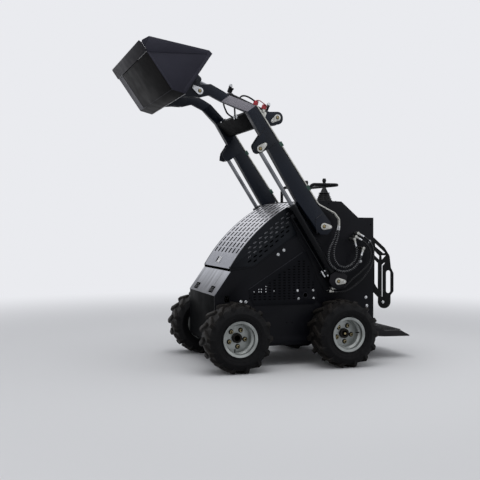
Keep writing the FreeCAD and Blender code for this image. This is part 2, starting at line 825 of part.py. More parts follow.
def cylinder_barrel(barrel_radius, barrel_length, rod_radius, eye_radius, half_eye, extras=(), wall=7.0):
    tube_start = 75.0
    cap = 17.0
    pin_radius = size("cylinder_pin_radius")
    tube = Part.makeCylinder(barrel_radius, barrel_length - tube_start, Vector(tube_start, 0, 0), Vector(1, 0, 0))
    gland = Part.makeCylinder(barrel_radius + 3, 34, Vector(barrel_length - 34, 0, 0), Vector(1, 0, 0))
    neck = Part.makeBox(tube_start, 2 * half_eye - 8, eye_radius * 1.5,
                        Vector(0, -half_eye + 4, -eye_radius * 0.75))
    eye = bar_y(0, 0, eye_radius, -half_eye, half_eye)
    chamber = Part.makeCylinder(barrel_radius - wall, barrel_length - cap - tube_start - 20,
                                Vector(tube_start + 20, 0, 0), Vector(1, 0, 0))
    rod_bore = Part.makeCylinder(rod_radius + clear, cap + 1, Vector(barrel_length - cap - 1, 0, 0), Vector(1, 0, 0))
    pin_bore = bar_y(0, 0, pin_radius + clear, -half_eye - 1, half_eye + 1)
    return joined([tube, gland, neck, eye] + list(extras)).cut(chamber).cut(rod_bore).cut(pin_bore)


def cylinder_rod(start, length, rod_radius, eye_radius, half_eye):
    rod = Part.makeCylinder(rod_radius, length - start, Vector(start, 0, 0), Vector(1, 0, 0))
    eye = bar_y(length, 0, eye_radius, -half_eye, half_eye)
    return joined([rod, eye]).cut(bar_y(length, 0, size("cylinder_pin_radius") + 1, -half_eye - 1, half_eye + 1))


def aimed(shape, base, y, angle):
    turned = shape.copy()
    turned.rotate(Vector(0, 0, 0), Vector(0, 1, 0), -angle)
    turned.translate(Vector(base[0], y, base[1]))
    return turned


def lift_pipework(barrel_length):
    # Oil pipe along the front of the barrel, its end blocks and the two stubs for the hoses
    drop = size("lift_barrel_radius") + 15.0
    pipe = Part.makeCylinder(size("tube_radius"), barrel_length - 150, Vector(85, 0, -drop), Vector(1, 0, 0))
    top_block = Part.makeBox(26, 22, drop - 15, Vector(barrel_length - 80, -11, -drop - 7))
    foot_block = Part.makeBox(28, 30, drop - 17, Vector(80, -15, -drop - 7))
    stubs = [Part.makeCylinder(7, 24, Vector(58, y, z), Vector(1, 0, 0)) for y, z in ((7, -drop), (-7, 12 - drop))]
    return [pipe, top_block, foot_block] + stubs


def build_lift_cylinder(side, sign):
    y = sign * arm_y
    half_eye = size("cylinder_eye_width") / 2
    barrel_length = size("lift_barrel_length")
    barrel = cylinder_barrel(size("lift_barrel_radius"), barrel_length, size("lift_rod_radius"), 32,
                             half_eye, lift_pipework(barrel_length))
    rod = cylinder_rod(size("lift_barrel_length") - 60, lift_length, size("lift_rod_radius"), 28, half_eye)
    shape_part("lift_barrel_" + side, aimed(barrel, lift_base, y, lift_angle))
    shape_part("lift_rod_" + side, aimed(rod, lift_base, y, lift_angle))


build_lift_cylinder("left", 1)
build_lift_cylinder("right", -1)


# Bucket, drawn in its own frame: X along the floor to the edge, heel corner at the origin
floor_angle = math.radians(size("bucket_floor_angle"))
heel = (size("heel_x"), size("heel_z"))


def to_bucket(x, z):
    dx, dz = x - heel[0], z - heel[1]
    return (dx * math.cos(floor_angle) + dz * math.sin(floor_angle),
            -dx * math.sin(floor_angle) + dz * math.cos(floor_angle))


def from_bucket(x, z):
    return (heel[0] + x * math.cos(floor_angle) - z * math.sin(floor_angle),
            heel[1] + x * math.sin(floor_angle) + z * math.cos(floor_angle))


def bucket_part(label, shape):
    turned = shape.copy()
    turned.rotate(Vector(0, 0, 0), Vector(0, 1, 0), -size("bucket_floor_angle"))
    turned.translate(Vector(heel[0], 0, heel[1]))
    return shape_part(label, turned)


bucket_y = size("bucket_half_width")
bucket_sheet = size("bucket_sheet")
back_foot = (-70.0, 60.0)
back_top = (37.0, 332.0)
edge_back = 287.0
tip_x = 370.0
side_outline = [(0, 0), (edge_back, 0), (edge_back, 6), (318, 8), (357, 68), (77, 356), (48, 362), back_top, back_foot]


def build_bucket_shell():
    side = size("bucket_side_plate")
    sheet_line = [(edge_back, 0), (0, 0), back_foot, back_top, (77, 356)]
    upper = offset_strip([(x, z) for x, z in sheet_line], -bucket_sheet)
    shell = slab(upper, -bucket_y + side / 2, bucket_y - side / 2)
    cheeks = [slab(side_outline, s * bucket_y - (side if s > 0 else 0), s * bucket_y + (0 if s > 0 else side))
              for s in (1, -1)]
    return bucket_part("bucket_shell", joined([shell] + cheeks))


build_bucket_shell()


def build_cutting_edge():
    thick = size("cutting_edge_plate")
    foot = -0.6 * thick
    outline = [(edge_back, thick + foot), (edge_back, foot), (tip_x - 8, foot), (tip_x, foot + 3),
               (tip_x - 20, thick + foot)]
    return bucket_part("cutting_edge", slab(outline, -bucket_y, bucket_y))


build_cutting_edge()


tilt_eye = (156.0, 1999.0)
tilt_eye_local = to_bucket(*tilt_eye)
hinge_local = to_bucket(*bucket_pin)


def on_back_wall(z):
    share = (z - back_foot[1]) / (back_top[1] - back_foot[1])
    return (back_foot[0] + share * (back_top[0] - back_foot[0]), z)


def build_bucket_ears():
    # Pairs that straddle each gooseneck, and the pair for the tilt rod
    y_out = size("goose_outer_y")
    y_in = y_out - size("goose_thickness")
    ear = size("bucket_ear_plate")
    hinge_outline = [on_back_wall(218), on_back_wall(82), (-100, 150, 20), (hinge_local[0] - 30, hinge_local[1] - 30, 30),
                     (hinge_local[0] - 26, hinge_local[1] + 36, 30), on_back_wall(262)]
    tilt_outline = [on_back_wall(330), on_back_wall(212), (-60, 285, 20), (tilt_eye_local[0] - 32, tilt_eye_local[1] - 8, 24),
                    (tilt_eye_local[0] - 14, tilt_eye_local[1] + 34, 24), (12, 356, 10)]
    shapes = []
    for low in (y_in - 4 - ear, y_out + 4):
        shapes.append(slab(hinge_outline, low, low + ear))
    shapes.append(slab(tilt_outline, tilt_in + 1, tilt_in + 1 + ear))
    pin = bar_y(hinge_local[0], hinge_local[1], size("bucket_pin_radius"), y_in - 4 - ear, y_out + 4 + ear + 4)
    flag = flag_plate(hinge_local[0], hinge_local[1], -25, y_out + 4 + ear + 4, 5.0)
    hinge = joined([shapes[0], shapes[1], pin, flag])
    return bucket_part("bucket_ears", Part.makeCompound(both_sides([hinge, shapes[2]])))


build_bucket_ears()


# Tilt cylinder on the centre line, from the ears behind the cross member to the bucket's upper ears
tilt_length = math.hypot(tilt_eye[0] - ear_pin[0], tilt_eye[1] - ear_pin[1])
tilt_angle = math.degrees(math.atan2(tilt_eye[1] - ear_pin[1], tilt_eye[0] - ear_pin[0]))


def build_tilt_cylinder():
    ports = []
    for along, lean in ((88, -1), (size("tilt_barrel_length") - 17, 1)):
        ports.append(Part.makeCylinder(9, 42, Vector(along, 0, 20), Vector(0, 0, 1)))
        ports.append(Part.makeCylinder(8, 22, Vector(along, 0, 56), Vector(0, lean, 0)))
    barrel = cylinder_barrel(size("tilt_barrel_radius"), size("tilt_barrel_length"), size("tilt_rod_radius"), 26,
                             size("tilt_base_eye_width") / 2, ports)
    rod = cylinder_rod(225, tilt_length, size("tilt_rod_radius"), size("tilt_rod_eye_radius"),
                       size("tilt_rod_eye_width") / 2)
    shape_part("tilt_barrel", aimed(barrel, ear_pin, 0, tilt_angle))
    shape_part("tilt_rod", aimed(rod, ear_pin, 0, tilt_angle))


build_tilt_cylinder()


# Hood: pressed side walls and a bright curved grille between them
hood_arc = [(3, 676), (-217, 949), (-481, 1132)]


def hood_side_edges(grow):
    # Closed side outline with its curved front moved in by grow
    start, middle, end = [Vector(x, z, 0) for x, z in hood_arc]
    curve = Part.Circle(start, middle, end)
    centre = curve.Center
    radius = curve.Radius - grow
    inner = [centre + (p - centre).normalize() * radius for p in (start, middle, end)]
    corners = [inner[2], Vector(-496, 1124, 0), Vector(-496, 916, 0), Vector(-172, 689, 0), inner[0]]
    edges = [Part.Arc(inner[0], inner[1], inner[2])]
    for first, second in zip(corners, corners[1:]):
        edges.append(Part.LineSegment(first, second))
    return edges


def hood_slab(grow, y_low, y_high):
    edges = [g.toShape() for g in hood_side_edges(grow)]
    flat = Part.Face(Part.Wire(Part.__sortEdges__(edges)))
    solid = flat.extrude(Vector(0, 0, y_high - y_low))
    solid.rotate(Vector(0, 0, 0), Vector(1, 0, 0), 90)
    solid.translate(Vector(0, y_high, 0))
    return solid


grille_rows, grille_row_pitch = 7, 85.0
grille_steps, grille_start_angle, grille_end_angle = 11, 37.2, 61.4
grille_slot = (34.0, 20.0)
side_slot = (28.0, 9.0)
side_slot_pitch = (40.0, 31.5)
side_slot_start = (-141.0, 694.0)


def hood_circle():
    start, middle, end = [Vector(x, z, 0) for x, z in hood_arc]
    curve = Part.Circle(start, middle, end)
    return curve.Center, curve.Radius


def grille_slots():
    # Square to the curved skin, in rows along the hood
    centre, radius = hood_circle()
    long_side, wide = grille_slot
    cutters = []
    for step in range(grille_steps):
        share = step / (grille_steps - 1)
        angle = grille_start_angle + share * (grille_end_angle - grille_start_angle)
        for row in range(grille_rows):
            y = (row - (grille_rows - 1) / 2) * grille_row_pitch
            cutter = Part.makeBox(40, wide, long_side, Vector(radius - 20, y - wide / 2, -long_side / 2))
            cutter.rotate(Vector(0, 0, 0), Vector(0, 1, 0), -angle)
            cutter.translate(Vector(centre.x, 0, centre.y))
            cutters.append(cutter)
    return cutters


def hood_side_slots():
    # Slanted slots through both side walls, in rows along the hood's lower fold
    long_side, wide = side_slot
    slant = math.degrees(math.atan2(227, -324)) - 180
    cutters = []
    for column in range(8):
        for row in range(5):
            if column or row:
                x = side_slot_start[0] - column * side_slot_pitch[0]
                z = side_slot_start[1] + column * 33.5 + row * side_slot_pitch[1]
                cutter = Part.makeBox(long_side, 2 * hood_half + 2, wide,
                                      Vector(-long_side / 2, -hood_half - 1, -wide / 2))
                cutter.rotate(Vector(0, 0, 0), Vector(0, 1, 0), -slant)
                cutter.translate(Vector(x, 0, z))
                cutters.append(cutter)
    return cutters


hood_hinge = (size("hood_hinge_x"), size("hood_hinge_z"))
hinge_lug_y = (206, 214)


def build_hood():
    half = hood_half
    skin = size("hood_sheet")
    opening = grille_half
    block = hood_slab(0, -half, half)
    hollow = hood_slab(skin, -half + skin, half - skin)
    window = slab([(60, 600), (200, 900), (-300, 1400), (-700, 1300), (-700, 880), (-172, 640)], -opening, opening)
    walls = block.cut(hollow).cut(window)
    for cutter in hood_side_slots():
        walls = walls.cut(cutter)
    x, z = hood_hinge
    rail = slab([(x - 10, z - 10), (x + 10, z - 10), (x + 10, z + 9), (x - 10, z + 5)], -half + skin, half - skin)
    for y_low, y_high in (hinge_lug_y, (-hinge_lug_y[1], -hinge_lug_y[0])):
        rail = rail.cut(Part.makeBox(40, y_high - y_low + 4, 40, Vector(x - 20, y_low - 2, z - 20)))
    bore = bar_y(x, z, size("hood_pin_radius") + clear, -half + skin, half - skin)
    shape_part("hood_shell", joined([walls, rail]).cut(bore))
    grille = hood_slab(0, -opening + seat, opening - seat).cut(hood_slab(skin, -opening - 1, opening + 1))
    grille = grille.cut(slab(box_outline(-520, x + 6, 900, 1200), -half, half))
    shape_part("hood_grille", grille.cut(Part.makeCompound(grille_slots())))
    lugs = []
    for y_low, y_high in (hinge_lug_y,):
        lugs.append(slab([(x - 22, z - 12), (x, z - 9, 3), (x + 9, z - 9, 8), (x + 9, z + 9, 8), (x - 22, z + 9)],
                         y_low, y_high))
        lugs.append(bar_y(x, z, size("hood_pin_radius"), y_low - 16, y_high + 16))
    shape_part("hood_hinges", Part.makeCompound(both_sides([joined(lugs)])))


build_hood()


# Hoses outside the tower: two loops from the arms' lines, two to the lift cylinder, and their fittings
line_end = (-782.0, 967.0)
hose_routes = {
    # name: (x, y, z) from the arm line or the elbow below the cylinder to the upper fitting
    "hose_loop_inner": [(-782, arm_out - 4, 965), (-775, arm_out - 4, 890), (-735, arm_out - 4, 800),
                        (-752, arm_out - 4, 700), (-830, arm_out - 4, 668), (-905, arm_out - 4, 712),
                        (-925, arm_out - 4, 790), (-905, arm_out - 4, 850)],
    "hose_loop_outer": [(-782, arm_out - 20, 965), (-764, arm_out - 20, 893), (-690, arm_out + 17, 800),
                        (-690, arm_out + 17, 708), (-768, arm_out + 17, 645), (-865, arm_out + 17, 652),
                        (-935, arm_out + 10, 715), (-955, arm_out + 10, 785)],
    "hose_base_inner": [(-765, arm_y, 528), (-820, arm_y, 524), (-885, arm_y, 585), (-960, arm_y + 3, 640),
                        (-1040, arm_y + 6, 715), (-1030, arm_y + 6, 835), (-940, arm_y + 6, 880)],
    "hose_base_outer": [(-746, arm_y, 506), (-808, arm_y, 497), (-885, arm_y, 525), (-985, arm_y + 3, 600),
                        (-1062, arm_y + 6, 715), (-1050, arm_y + 6, 860), (-956, arm_y + 6, 905)],
}


def build_hoses():
    for name, route in hose_routes.items():
        radii = run_radii([Vector(*point) for point in route])
        hose = round_bar(route, size("hose_radius"), radii)
        print(name, "bends", [round(r) for r in radii], "length", round(hose.Volume / (math.pi * size("hose_radius") ** 2)))
        shape_part(name + "_left", hose)
        shape_part(name + "_right", hose.mirror(Vector(0, 0, 0), Vector(0, 1, 0)))


build_hoses()


def build_fittings():
    # Elbows from the side plate: the loops have one, the cylinder's hoses one at each end
    ends = [(route[-1], route[-2], body_y) for route in hose_routes.values()]
    for name in ("hose_base_inner", "hose_base_outer"):
        ends.append((hose_routes[name][0], hose_routes[name][1], tower_outer_y))
    elbows = []
    for end, before, wall_y in ends:
        end = Vector(*end)
        along = (end - Vector(*before)).normalize()
        centre = end + along * 26
        stem = Part.makeCylinder(10, centre.y + 10 - wall_y, Vector(centre.x, wall_y, centre.z), Vector(0, 1, 0))
        elbows.append(joined([stem, Part.makeCylinder(9, 26, end, along)]))
    return shape_part("valve_fittings", Part.makeCompound(both_sides(elbows)))


build_fittings()


# Quick couplers for tools, on a plate behind the elbow of the left arm
coupler_lean = Vector(-0.3, 0, 0.954)
coupler_feet = [(-200, 1793), (-262, 1769)]


def build_couplers():
    low = arm_in - 95
    plate_outline = [(-155, 1772), (-172, 1806, 6), (-292, 1760, 10), (-268, 1700, 10), (-215, 1689.4)]
    pieces = [slab(plate_outline, low - 6, low)]
    for x, z in coupler_feet:
        foot = Vector(x, low - 3, z - 12)
        pieces.append(Part.makeCylinder(12, 34, foot, coupler_lean))
        pieces.append(Part.makeCylinder(15, 26, foot + coupler_lean * 34, coupler_lean))
    return shape_part("tool_couplers", joined(pieces))


build_couplers()


# Tyres: a carcass of flat-sided rings, two flats to a lug, and directional lugs on both shoulders
def ring_solid(profile, sides):
    # Closed outline of (y, radius) turned in flats; the radius is the flats' own
    stretch = 1 / math.cos(math.pi / sides)
    faces = []
    for (first_y, first_r), (second_y, second_r) in zip(profile, profile[1:] + profile[:1]):
        for i in range(sides):
            corners = []
            for y, radius, k in ((first_y, first_r, i), (first_y, first_r, i + 1),
                                 (second_y, second_r, i + 1), (second_y, second_r, i)):
                angle = 2 * math.pi * (k % sides) / sides
                corners.append(Vector(stretch * radius * math.cos(angle), y, stretch * radius * math.sin(angle)))
            faces.append(Part.Face(Part.makePolygon(corners + corners[:1])))
    solid = Part.Solid(Part.Shell(faces))
    if solid.Volume < 0:
        solid.reverse()
    return solid


def tyre_shape():
    radius = size("tyre_radius")
    half = size("tyre_half_width")
    bead = size("bead_radius")
    tread = radius - size("tread_depth")
    count = int(size("lug_count"))
    profile = [(100, bead), (102, bead + 16), (half - 3, bead + 42), (half, bead + 62),
               (half - 20, tread - 5), (half - 70, tread)]
    carcass = ring_solid(profile + [(-y, r) for y, r in reversed(profile)], 2 * count)
    flat = radius * math.cos(math.pi / (2 * count))
    envelope = ring_solid([(half, radius / 2), (half, flat), (-half, flat), (-half, radius / 2)], 2 * count)
    thick = size("lug_thickness")
    side = [(5, tread - 8), (5, radius + 6), (half - 14, radius + 6), (half, radius - 24), (half, tread - 38),
            (half - 14, tread - 38), (half - 40, tread - 8)]
    lugs = []
    for sign in (1, -1):
        face = Part.Face(Part.makePolygon([Vector(0, sign * y, r) for y, r in side + side[:1]]))
        lug = face.extrude(Vector(thick, 0, 0))
        lug.translate(Vector(-thick / 2, 0, 0))
        lug.rotate(Vector(0, 0, 0), Vector(0, 0, 1), -sign * size("lug_lean"))
        for i in range(count):
            copy = lug.copy()
            copy.rotate(Vector(0, 0, 0), Vector(0, 1, 0), 360.0 / count * (i + (0.5 if sign < 0 else 0)))
            lugs.append(copy)
    trimmed = Part.makeCompound(lugs).common(envelope)
    return carcass.multiFuse(trimmed.Solids)


stud_phase = 0.82


def rim_shape():
    lip, wide, skin = size("rim_lip_radius"), size("rim_half_width"), size("rim_sheet")
    seat_r = size("bead_radius") - seat
    outer = [(wide, lip), (wide - 5, lip), (wide - 7, seat_r), (75, seat_r), (62, 92), (-42, 92), (-56, seat_r),
             (-wide + 7, seat_r), (-wide + 5, lip), (-wide, lip)]
    inner = [(-wide, lip - 3), (-wide + 4, seat_r - skin), (-54, seat_r - skin), (-40, 92 - skin),
             (60, 92 - skin), (73, seat_r - skin), (wide - 4, seat_r - skin), (wide, lip - 3)]
    ring = Part.Face(Part.makePolygon([Vector(0, y, r) for y, r in outer + inner + outer[:1]]))
    rim = ring.revolve(Vector(0, 0, 0), Vector(0, 1, 0), 360)
    disc_y = size("disc_offset")
    disc = Part.makeCylinder(90, size("disc_thickness"), Vector(0, disc_y, 0), Vector(0, 1, 0))
    disc = disc.cut(Part.makeCylinder(34, 40, Vector(0, disc_y - 10, 0), Vector(0, 1, 0)))
    for i in range(int(size("stud_count"))):
        angle = 2 * math.pi * i / size("stud_count") + stud_phase
        at = Vector(size("stud_circle_radius") * math.cos(angle), disc_y - 10,
                    size("stud_circle_radius") * math.sin(angle))
        disc = disc.cut(Part.makeCylinder(size("stud_radius") + 0.5, 40, at, Vector(0, 1, 0)))
    return joined([rim, disc])


def hub_shape():
    # Local Y = 0 is the wheel's centre plane
    face_y = size("disc_offset")
    boss_start = motor_end_y + 5 - wheel_y
    shaft_start = boss_start - 45
    flange = Part.makeCylinder(size("hub_flange_radius"), size("hub_flange_thickness"),
                               Vector(0, face_y - size("hub_flange_thickness"), 0), Vector(0, 1, 0))
    boss = Part.makeCylinder(38, face_y - boss_start, Vector(0, boss_start, 0), Vector(0, 1, 0))
    shaft = Part.makeCylinder(size("axle_shaft_radius"), 60, Vector(0, shaft_start, 0), Vector(0, 1, 0))
    nose = Part.makeCylinder(33, 26, Vector(0, face_y, 0), Vector(0, 1, 0))
    pieces = [flange, boss, shaft, nose]
    nut_start = face_y + size("disc_thickness")
    for i in range(int(size("stud_count"))):
        angle = 2 * math.pi * i / size("stud_count") + stud_phase
        x = size("stud_circle_radius") * math.cos(angle)
        z = size("stud_circle_radius") * math.sin(angle)
        stud = Part.makeCylinder(size("stud_radius"), size("disc_thickness") + 18, Vector(x, face_y, z), Vector(0, 1, 0))
        corners = [Vector(x + 11 * math.cos(k * math.pi / 3), nut_start, z + 11 * math.sin(k * math.pi / 3))
                   for k in range(7)]
        nut = Part.Face(Part.makePolygon(corners)).extrude(Vector(0, 13, 0))
        pieces += [stud, nut]
    return joined(pieces)


wheel_middle = "Sizes.body_half_width + Sizes.wheel_side_gap + Sizes.tyre_half_width"


def place_wheel(label, shape, axle_x, sign):
    local = shape.copy()
    if sign < 0:
        local = local.mirror(Vector(0, 0, 0), Vector(0, 1, 0))
    item = doc.addObject("Part::Feature", label)
    item.Label = label
    item.Shape = Part.makeCompound(local.Solids)
    item.setExpression("Placement.Base.y", "%d * (%s)" % (sign, wheel_middle))
    item.setExpression("Placement.Base.z", "Sizes.tyre_radius")
    item.setExpression("Placement.Base.x", "Sizes.front_axle_x" if axle_x == 0 else "Sizes.front_axle_x - Sizes.wheelbase")
    sub_parts[label] = item


tyre, rim, hub = tyre_shape(), rim_shape(), hub_shape()
for axle_name, axle_x in (("front", 0), ("rear", -1)):
    for side_name, sign in (("left", 1), ("right", -1)):
        place_wheel("tyre_%s_%s" % (axle_name, side_name), tyre, axle_x, sign)
        place_wheel("rim_%s_%s" % (axle_name, side_name), rim, axle_x, sign)
        place_wheel("hub_%s_%s" % (axle_name, side_name), hub, axle_x, sign)

doc.recompute()

for item in doc.Objects:
    if "Invalid" in item.State or "Error" in item.State:
        raise RuntimeError("%s failed: %s" % (item.Label, item.State))
for label, item in sub_parts.items():
    if item.Shape.isNull() or not item.Shape.isValid():
        raise RuntimeError("%s has no valid shape" % label)

os.makedirs("parts", exist_ok=True)
low = Vector(1e9, 1e9, 1e9)
high = Vector(-1e9, -1e9, -1e9)
for label, item in sub_parts.items():
    item.Shape.exportStep("parts/%s.step" % label)
    box = item.Shape.BoundBox
    low = Vector(min(low.x, box.XMin), min(low.y, box.YMin), min(low.z, box.ZMin))
    high = Vector(max(high.x, box.XMax), max(high.y, box.YMax), max(high.z, box.ZMax))
print("sub-parts", len(sub_parts))
print("box", [round(v, 2) for v in (low.x, low.y, low.z, high.x, high.y, high.z)])
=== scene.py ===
import json
import math

import bpy
from mathutils import Matrix, Vector


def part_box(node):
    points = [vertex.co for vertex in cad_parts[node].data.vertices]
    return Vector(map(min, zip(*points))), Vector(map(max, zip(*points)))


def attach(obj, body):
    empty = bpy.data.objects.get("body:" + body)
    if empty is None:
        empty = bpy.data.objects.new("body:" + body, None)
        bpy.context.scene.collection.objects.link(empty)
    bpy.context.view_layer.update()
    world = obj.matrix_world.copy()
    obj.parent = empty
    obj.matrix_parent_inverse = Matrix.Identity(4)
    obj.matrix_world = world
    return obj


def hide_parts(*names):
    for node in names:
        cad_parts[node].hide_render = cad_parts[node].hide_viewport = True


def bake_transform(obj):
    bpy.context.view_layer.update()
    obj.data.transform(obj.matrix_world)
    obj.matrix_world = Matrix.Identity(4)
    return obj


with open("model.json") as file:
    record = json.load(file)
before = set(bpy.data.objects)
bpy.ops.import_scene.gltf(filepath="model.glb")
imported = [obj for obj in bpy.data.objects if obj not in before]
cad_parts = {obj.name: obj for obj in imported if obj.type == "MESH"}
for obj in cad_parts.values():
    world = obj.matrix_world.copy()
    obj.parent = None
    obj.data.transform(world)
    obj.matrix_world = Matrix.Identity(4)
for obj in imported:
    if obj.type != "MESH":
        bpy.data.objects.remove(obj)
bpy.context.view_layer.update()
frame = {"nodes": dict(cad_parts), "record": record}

cadNodes = frame["nodes"]
bodyOf = {node: body for body, names in frame["record"]["behaviour"]["bodies"].items() for node in names}
slotOf = {row["node"]: row["material_slot"] for row in frame["record"]["subparts"]}
print("frame loaded:", len(cadNodes), "nodes")

# Sizes below are millimetres, x from the front axle, y to the left, z from the ground
frontLow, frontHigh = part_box("tyre_front_left")
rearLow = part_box("tyre_rear_left")[0]
axleX = (frontLow[0] + frontHigh[0]) / 2
axleZ = (frontLow[2] + frontHigh[2]) / 2 * 1000
wheelbase = (frontLow[0] - rearLow[0]) * 1000
wheelY = (frontLow[1] + frontHigh[1]) / 2 * 1000
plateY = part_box("side_plates")[1][1] * 1000
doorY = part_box("side_doors")[1][1] * 1000
rearX = (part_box("main_frame")[0][0] - axleX) * 1000
noseX, noseTop = (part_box("main_frame")[1][0] - axleX) * 1000, 493.0


def spot(x, y, z):
    return Vector((axleX + x / 1000, y / 1000, z / 1000))


def bucketSpot(x, z):
    # The bucket's own drawing, curled back by 55 degrees
    turn = math.radians(55)
    return 455 + x * math.cos(turn) - z * math.sin(turn), 1839 + x * math.sin(turn) + z * math.cos(turn)


# Mesh helpers
def clearPick():
    bpy.ops.object.select_all(action="DESELECT")


def pickOnly(piece):
    clearPick()
    piece.select_set(True)
    bpy.context.view_layer.objects.active = piece


def pickFaces(piece, test):
    # Selects the faces that pass, then goes back to edit mode
    bpy.ops.object.mode_set(mode="OBJECT")
    for vertex in piece.data.vertices:
        vertex.select = False
    for edge in piece.data.edges:
        edge.select = False
    for face in piece.data.polygons:
        face.select = bool(test(face.center, face.normal))
    bpy.ops.object.mode_set(mode="EDIT")
    bpy.ops.mesh.select_mode(type="FACE")


def bevelEdges(piece, width):
    pickOnly(piece)
    modifier = piece.modifiers.new("edgeBreak", "BEVEL")
    modifier.width = width / 1000
    modifier.segments = 2
    modifier.limit_method = "ANGLE"
    modifier.angle_limit = math.radians(30)
    modifier.use_clamp_overlap = True
    bpy.ops.object.modifier_apply(modifier=modifier.name)


def smooth(piece, angle=35):
    pickOnly(piece)
    bpy.ops.object.shade_smooth_by_angle(angle=math.radians(angle))


def paint(piece, material):
    piece.data.materials.clear()
    piece.data.materials.append(material)


def settle(piece, material, body, name=None):
    # Place goes into the mesh, then the piece joins its body
    pickOnly(piece)
    bpy.ops.object.transform_apply(location=True, rotation=True, scale=True)
    paint(piece, material)
    if name:
        piece.name = name
        piece.data.name = name
    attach(piece, body)
    return piece


def joinPieces(pieces, name):
    clearPick()
    for piece in pieces:
        piece.select_set(True)
    bpy.context.view_layer.objects.active = pieces[0]
    if len(pieces) > 1:
        bpy.ops.object.join()
    pieces[0].name = name
    pieces[0].data.name = name
    return pieces[0]


def copies(pattern, places, name):
    # The pattern stands at the origin, its face along +Z
    made = []
    for place in places:
        copy = pattern.copy()
        copy.data = pattern.data.copy()
        bpy.context.scene.collection.objects.link(copy)
        copy.data.transform(place)
        made.append(copy)
    bpy.data.objects.remove(pattern)
    return joinPieces(made, name)


def facing(point, direction, turn=0.0):
    # A place whose +Z looks along this direction
    aim = Vector(direction).to_track_quat("Z", "Y").to_matrix().to_4x4()
    return Matrix.Translation(point) @ aim @ Matrix.Rotation(math.radians(turn), 4, "Z")


def planted(point, along, out):
    # A place whose +X runs along the piece and +Z looks out of it
    z = Vector(out).normalized()
    x = Vector(along)
    x = (x - x.dot(z) * z).normalized()
    return Matrix.Translation(point) @ Matrix((x, z.cross(x), z)).transposed().to_4x4()


def bothSides(points):
    return [(x, side * y, z) for side in (1, -1) for x, y, z in points]


def outlinePlate(outline, yLow, yHigh, edge=0.0):
    # A flat plate cut to an outline in the side view, as thick as from yLow to yHigh
    clearPick()
    bpy.ops.mesh.primitive_circle_add(vertices=len(outline), radius=0.1, fill_type="NGON")
    plate = bpy.context.active_object
    for vertex, (x, z) in zip(plate.data.vertices, outline):
        vertex.co = spot(x, yLow, z)
    bpy.ops.object.mode_set(mode="EDIT")
    bpy.ops.mesh.select_all(action="SELECT")
    bpy.ops.mesh.extrude_region_move(TRANSFORM_OT_translate={"value": (0, (yHigh - yLow) / 1000, 0)})
    bpy.ops.mesh.select_all(action="SELECT")
    bpy.ops.mesh.normals_make_consistent(inside=False)
    bpy.ops.object.mode_set(mode="OBJECT")
    if edge:
        bevelEdges(plate, edge)
    smooth(plate, 32)
    return plate


def platePair(name, outline, yLow, yHigh, material, body, edge=0.5):
    pair = [outlinePlate(outline, side * yLow, side * yHigh, edge) for side in (1, -1)]
    settle(joinPieces(pair, name), material, body)


def turned(profile, vertices=32, smoothAngle=35):
    # A turned part along +Z: radius and height of each step
    clearPick()
    radius, height = profile[0]
    bpy.ops.mesh.primitive_circle_add(vertices=vertices, radius=radius / 1000, fill_type="NGON",
                                      location=(0, 0, height / 1000))
    part = bpy.context.active_object
    bpy.ops.object.transform_apply(location=True)
    bpy.ops.object.mode_set(mode="EDIT")
    bpy.ops.mesh.select_all(action="SELECT")
    for (r0, h0), (r1, h1) in zip(profile, profile[1:]):
        bpy.ops.mesh.extrude_region_move(TRANSFORM_OT_translate={"value": (0, 0, (h1 - h0) / 1000)})
        bpy.ops.transform.resize(value=(r1 / r0, r1 / r0, 1), center_override=(0, 0, h1 / 1000))
    bpy.ops.mesh.select_all(action="SELECT")
    bpy.ops.mesh.normals_make_consistent(inside=False)
    bpy.ops.object.mode_set(mode="OBJECT")
    smooth(part, smoothAngle)
    return part


def ringBead(radius, thick, flatten, segments=64):
    # A raised ring round +Z, pressed flatter than it is wide
    clearPick()
    bpy.ops.mesh.primitive_torus_add(major_segments=segments, minor_segments=10, major_radius=radius / 1000,
                                     minor_radius=thick / 1000)
    ring = bpy.context.active_object
    bpy.ops.object.mode_set(mode="EDIT")
    bpy.ops.mesh.select_all(action="SELECT")
    bpy.ops.transform.resize(value=(1, 1, flatten), center_override=(0, 0, 0))
    bpy.ops.object.mode_set(mode="OBJECT")
    smooth(ring, 60)
    return ring


def block(low, high, edge, inset=0.0, rise=0.0, side=(0, 0, 1)):
    # A block between two corners with rolled edges; one face may have a raised or sunk field
    clearPick()
    bpy.ops.mesh.primitive_cube_add(size=1)
    piece = bpy.context.active_object
    for vertex in piece.data.vertices:
        vertex.co = Vector([(a + b) / 2000 + c * (b - a) / 1000 for a, b, c in zip(low, high, vertex.co)])
    if inset:
        pickFaces(piece, lambda c, n: n.dot(Vector(side)) > 0.99)
        bpy.ops.mesh.inset(thickness=inset / 1000)
        bpy.ops.mesh.extrude_region_move(
            TRANSFORM_OT_translate={"value": tuple(rise / 1000 * s for s in side)})
        bpy.ops.object.mode_set(mode="OBJECT")
    bevelEdges(piece, edge)
    smooth(piece)
    return piece


def moved(piece, place):
    piece.data.transform(place)
    return piece


# Materials
def fromHex(code):
    channels = []
    for i in (0, 2, 4):
        value = int(code[i:i + 2], 16) / 255
        channels.append(value / 12.92 if value <= 0.04045 else ((value + 0.055) / 1.055) ** 2.4)
    return (channels[0], channels[1], channels[2], 1.0)


def addNode(tree, kind, settings, sockets):
    node = tree.nodes.new(kind)
    for name, value in settings.items():
        setattr(node, name, value)
    for name, value in sockets.items():
        socket = node.inputs[name]
        if isinstance(value, bpy.types.NodeSocket):
            tree.links.new(value, socket)
        else:
            socket.default_value = value
    return node


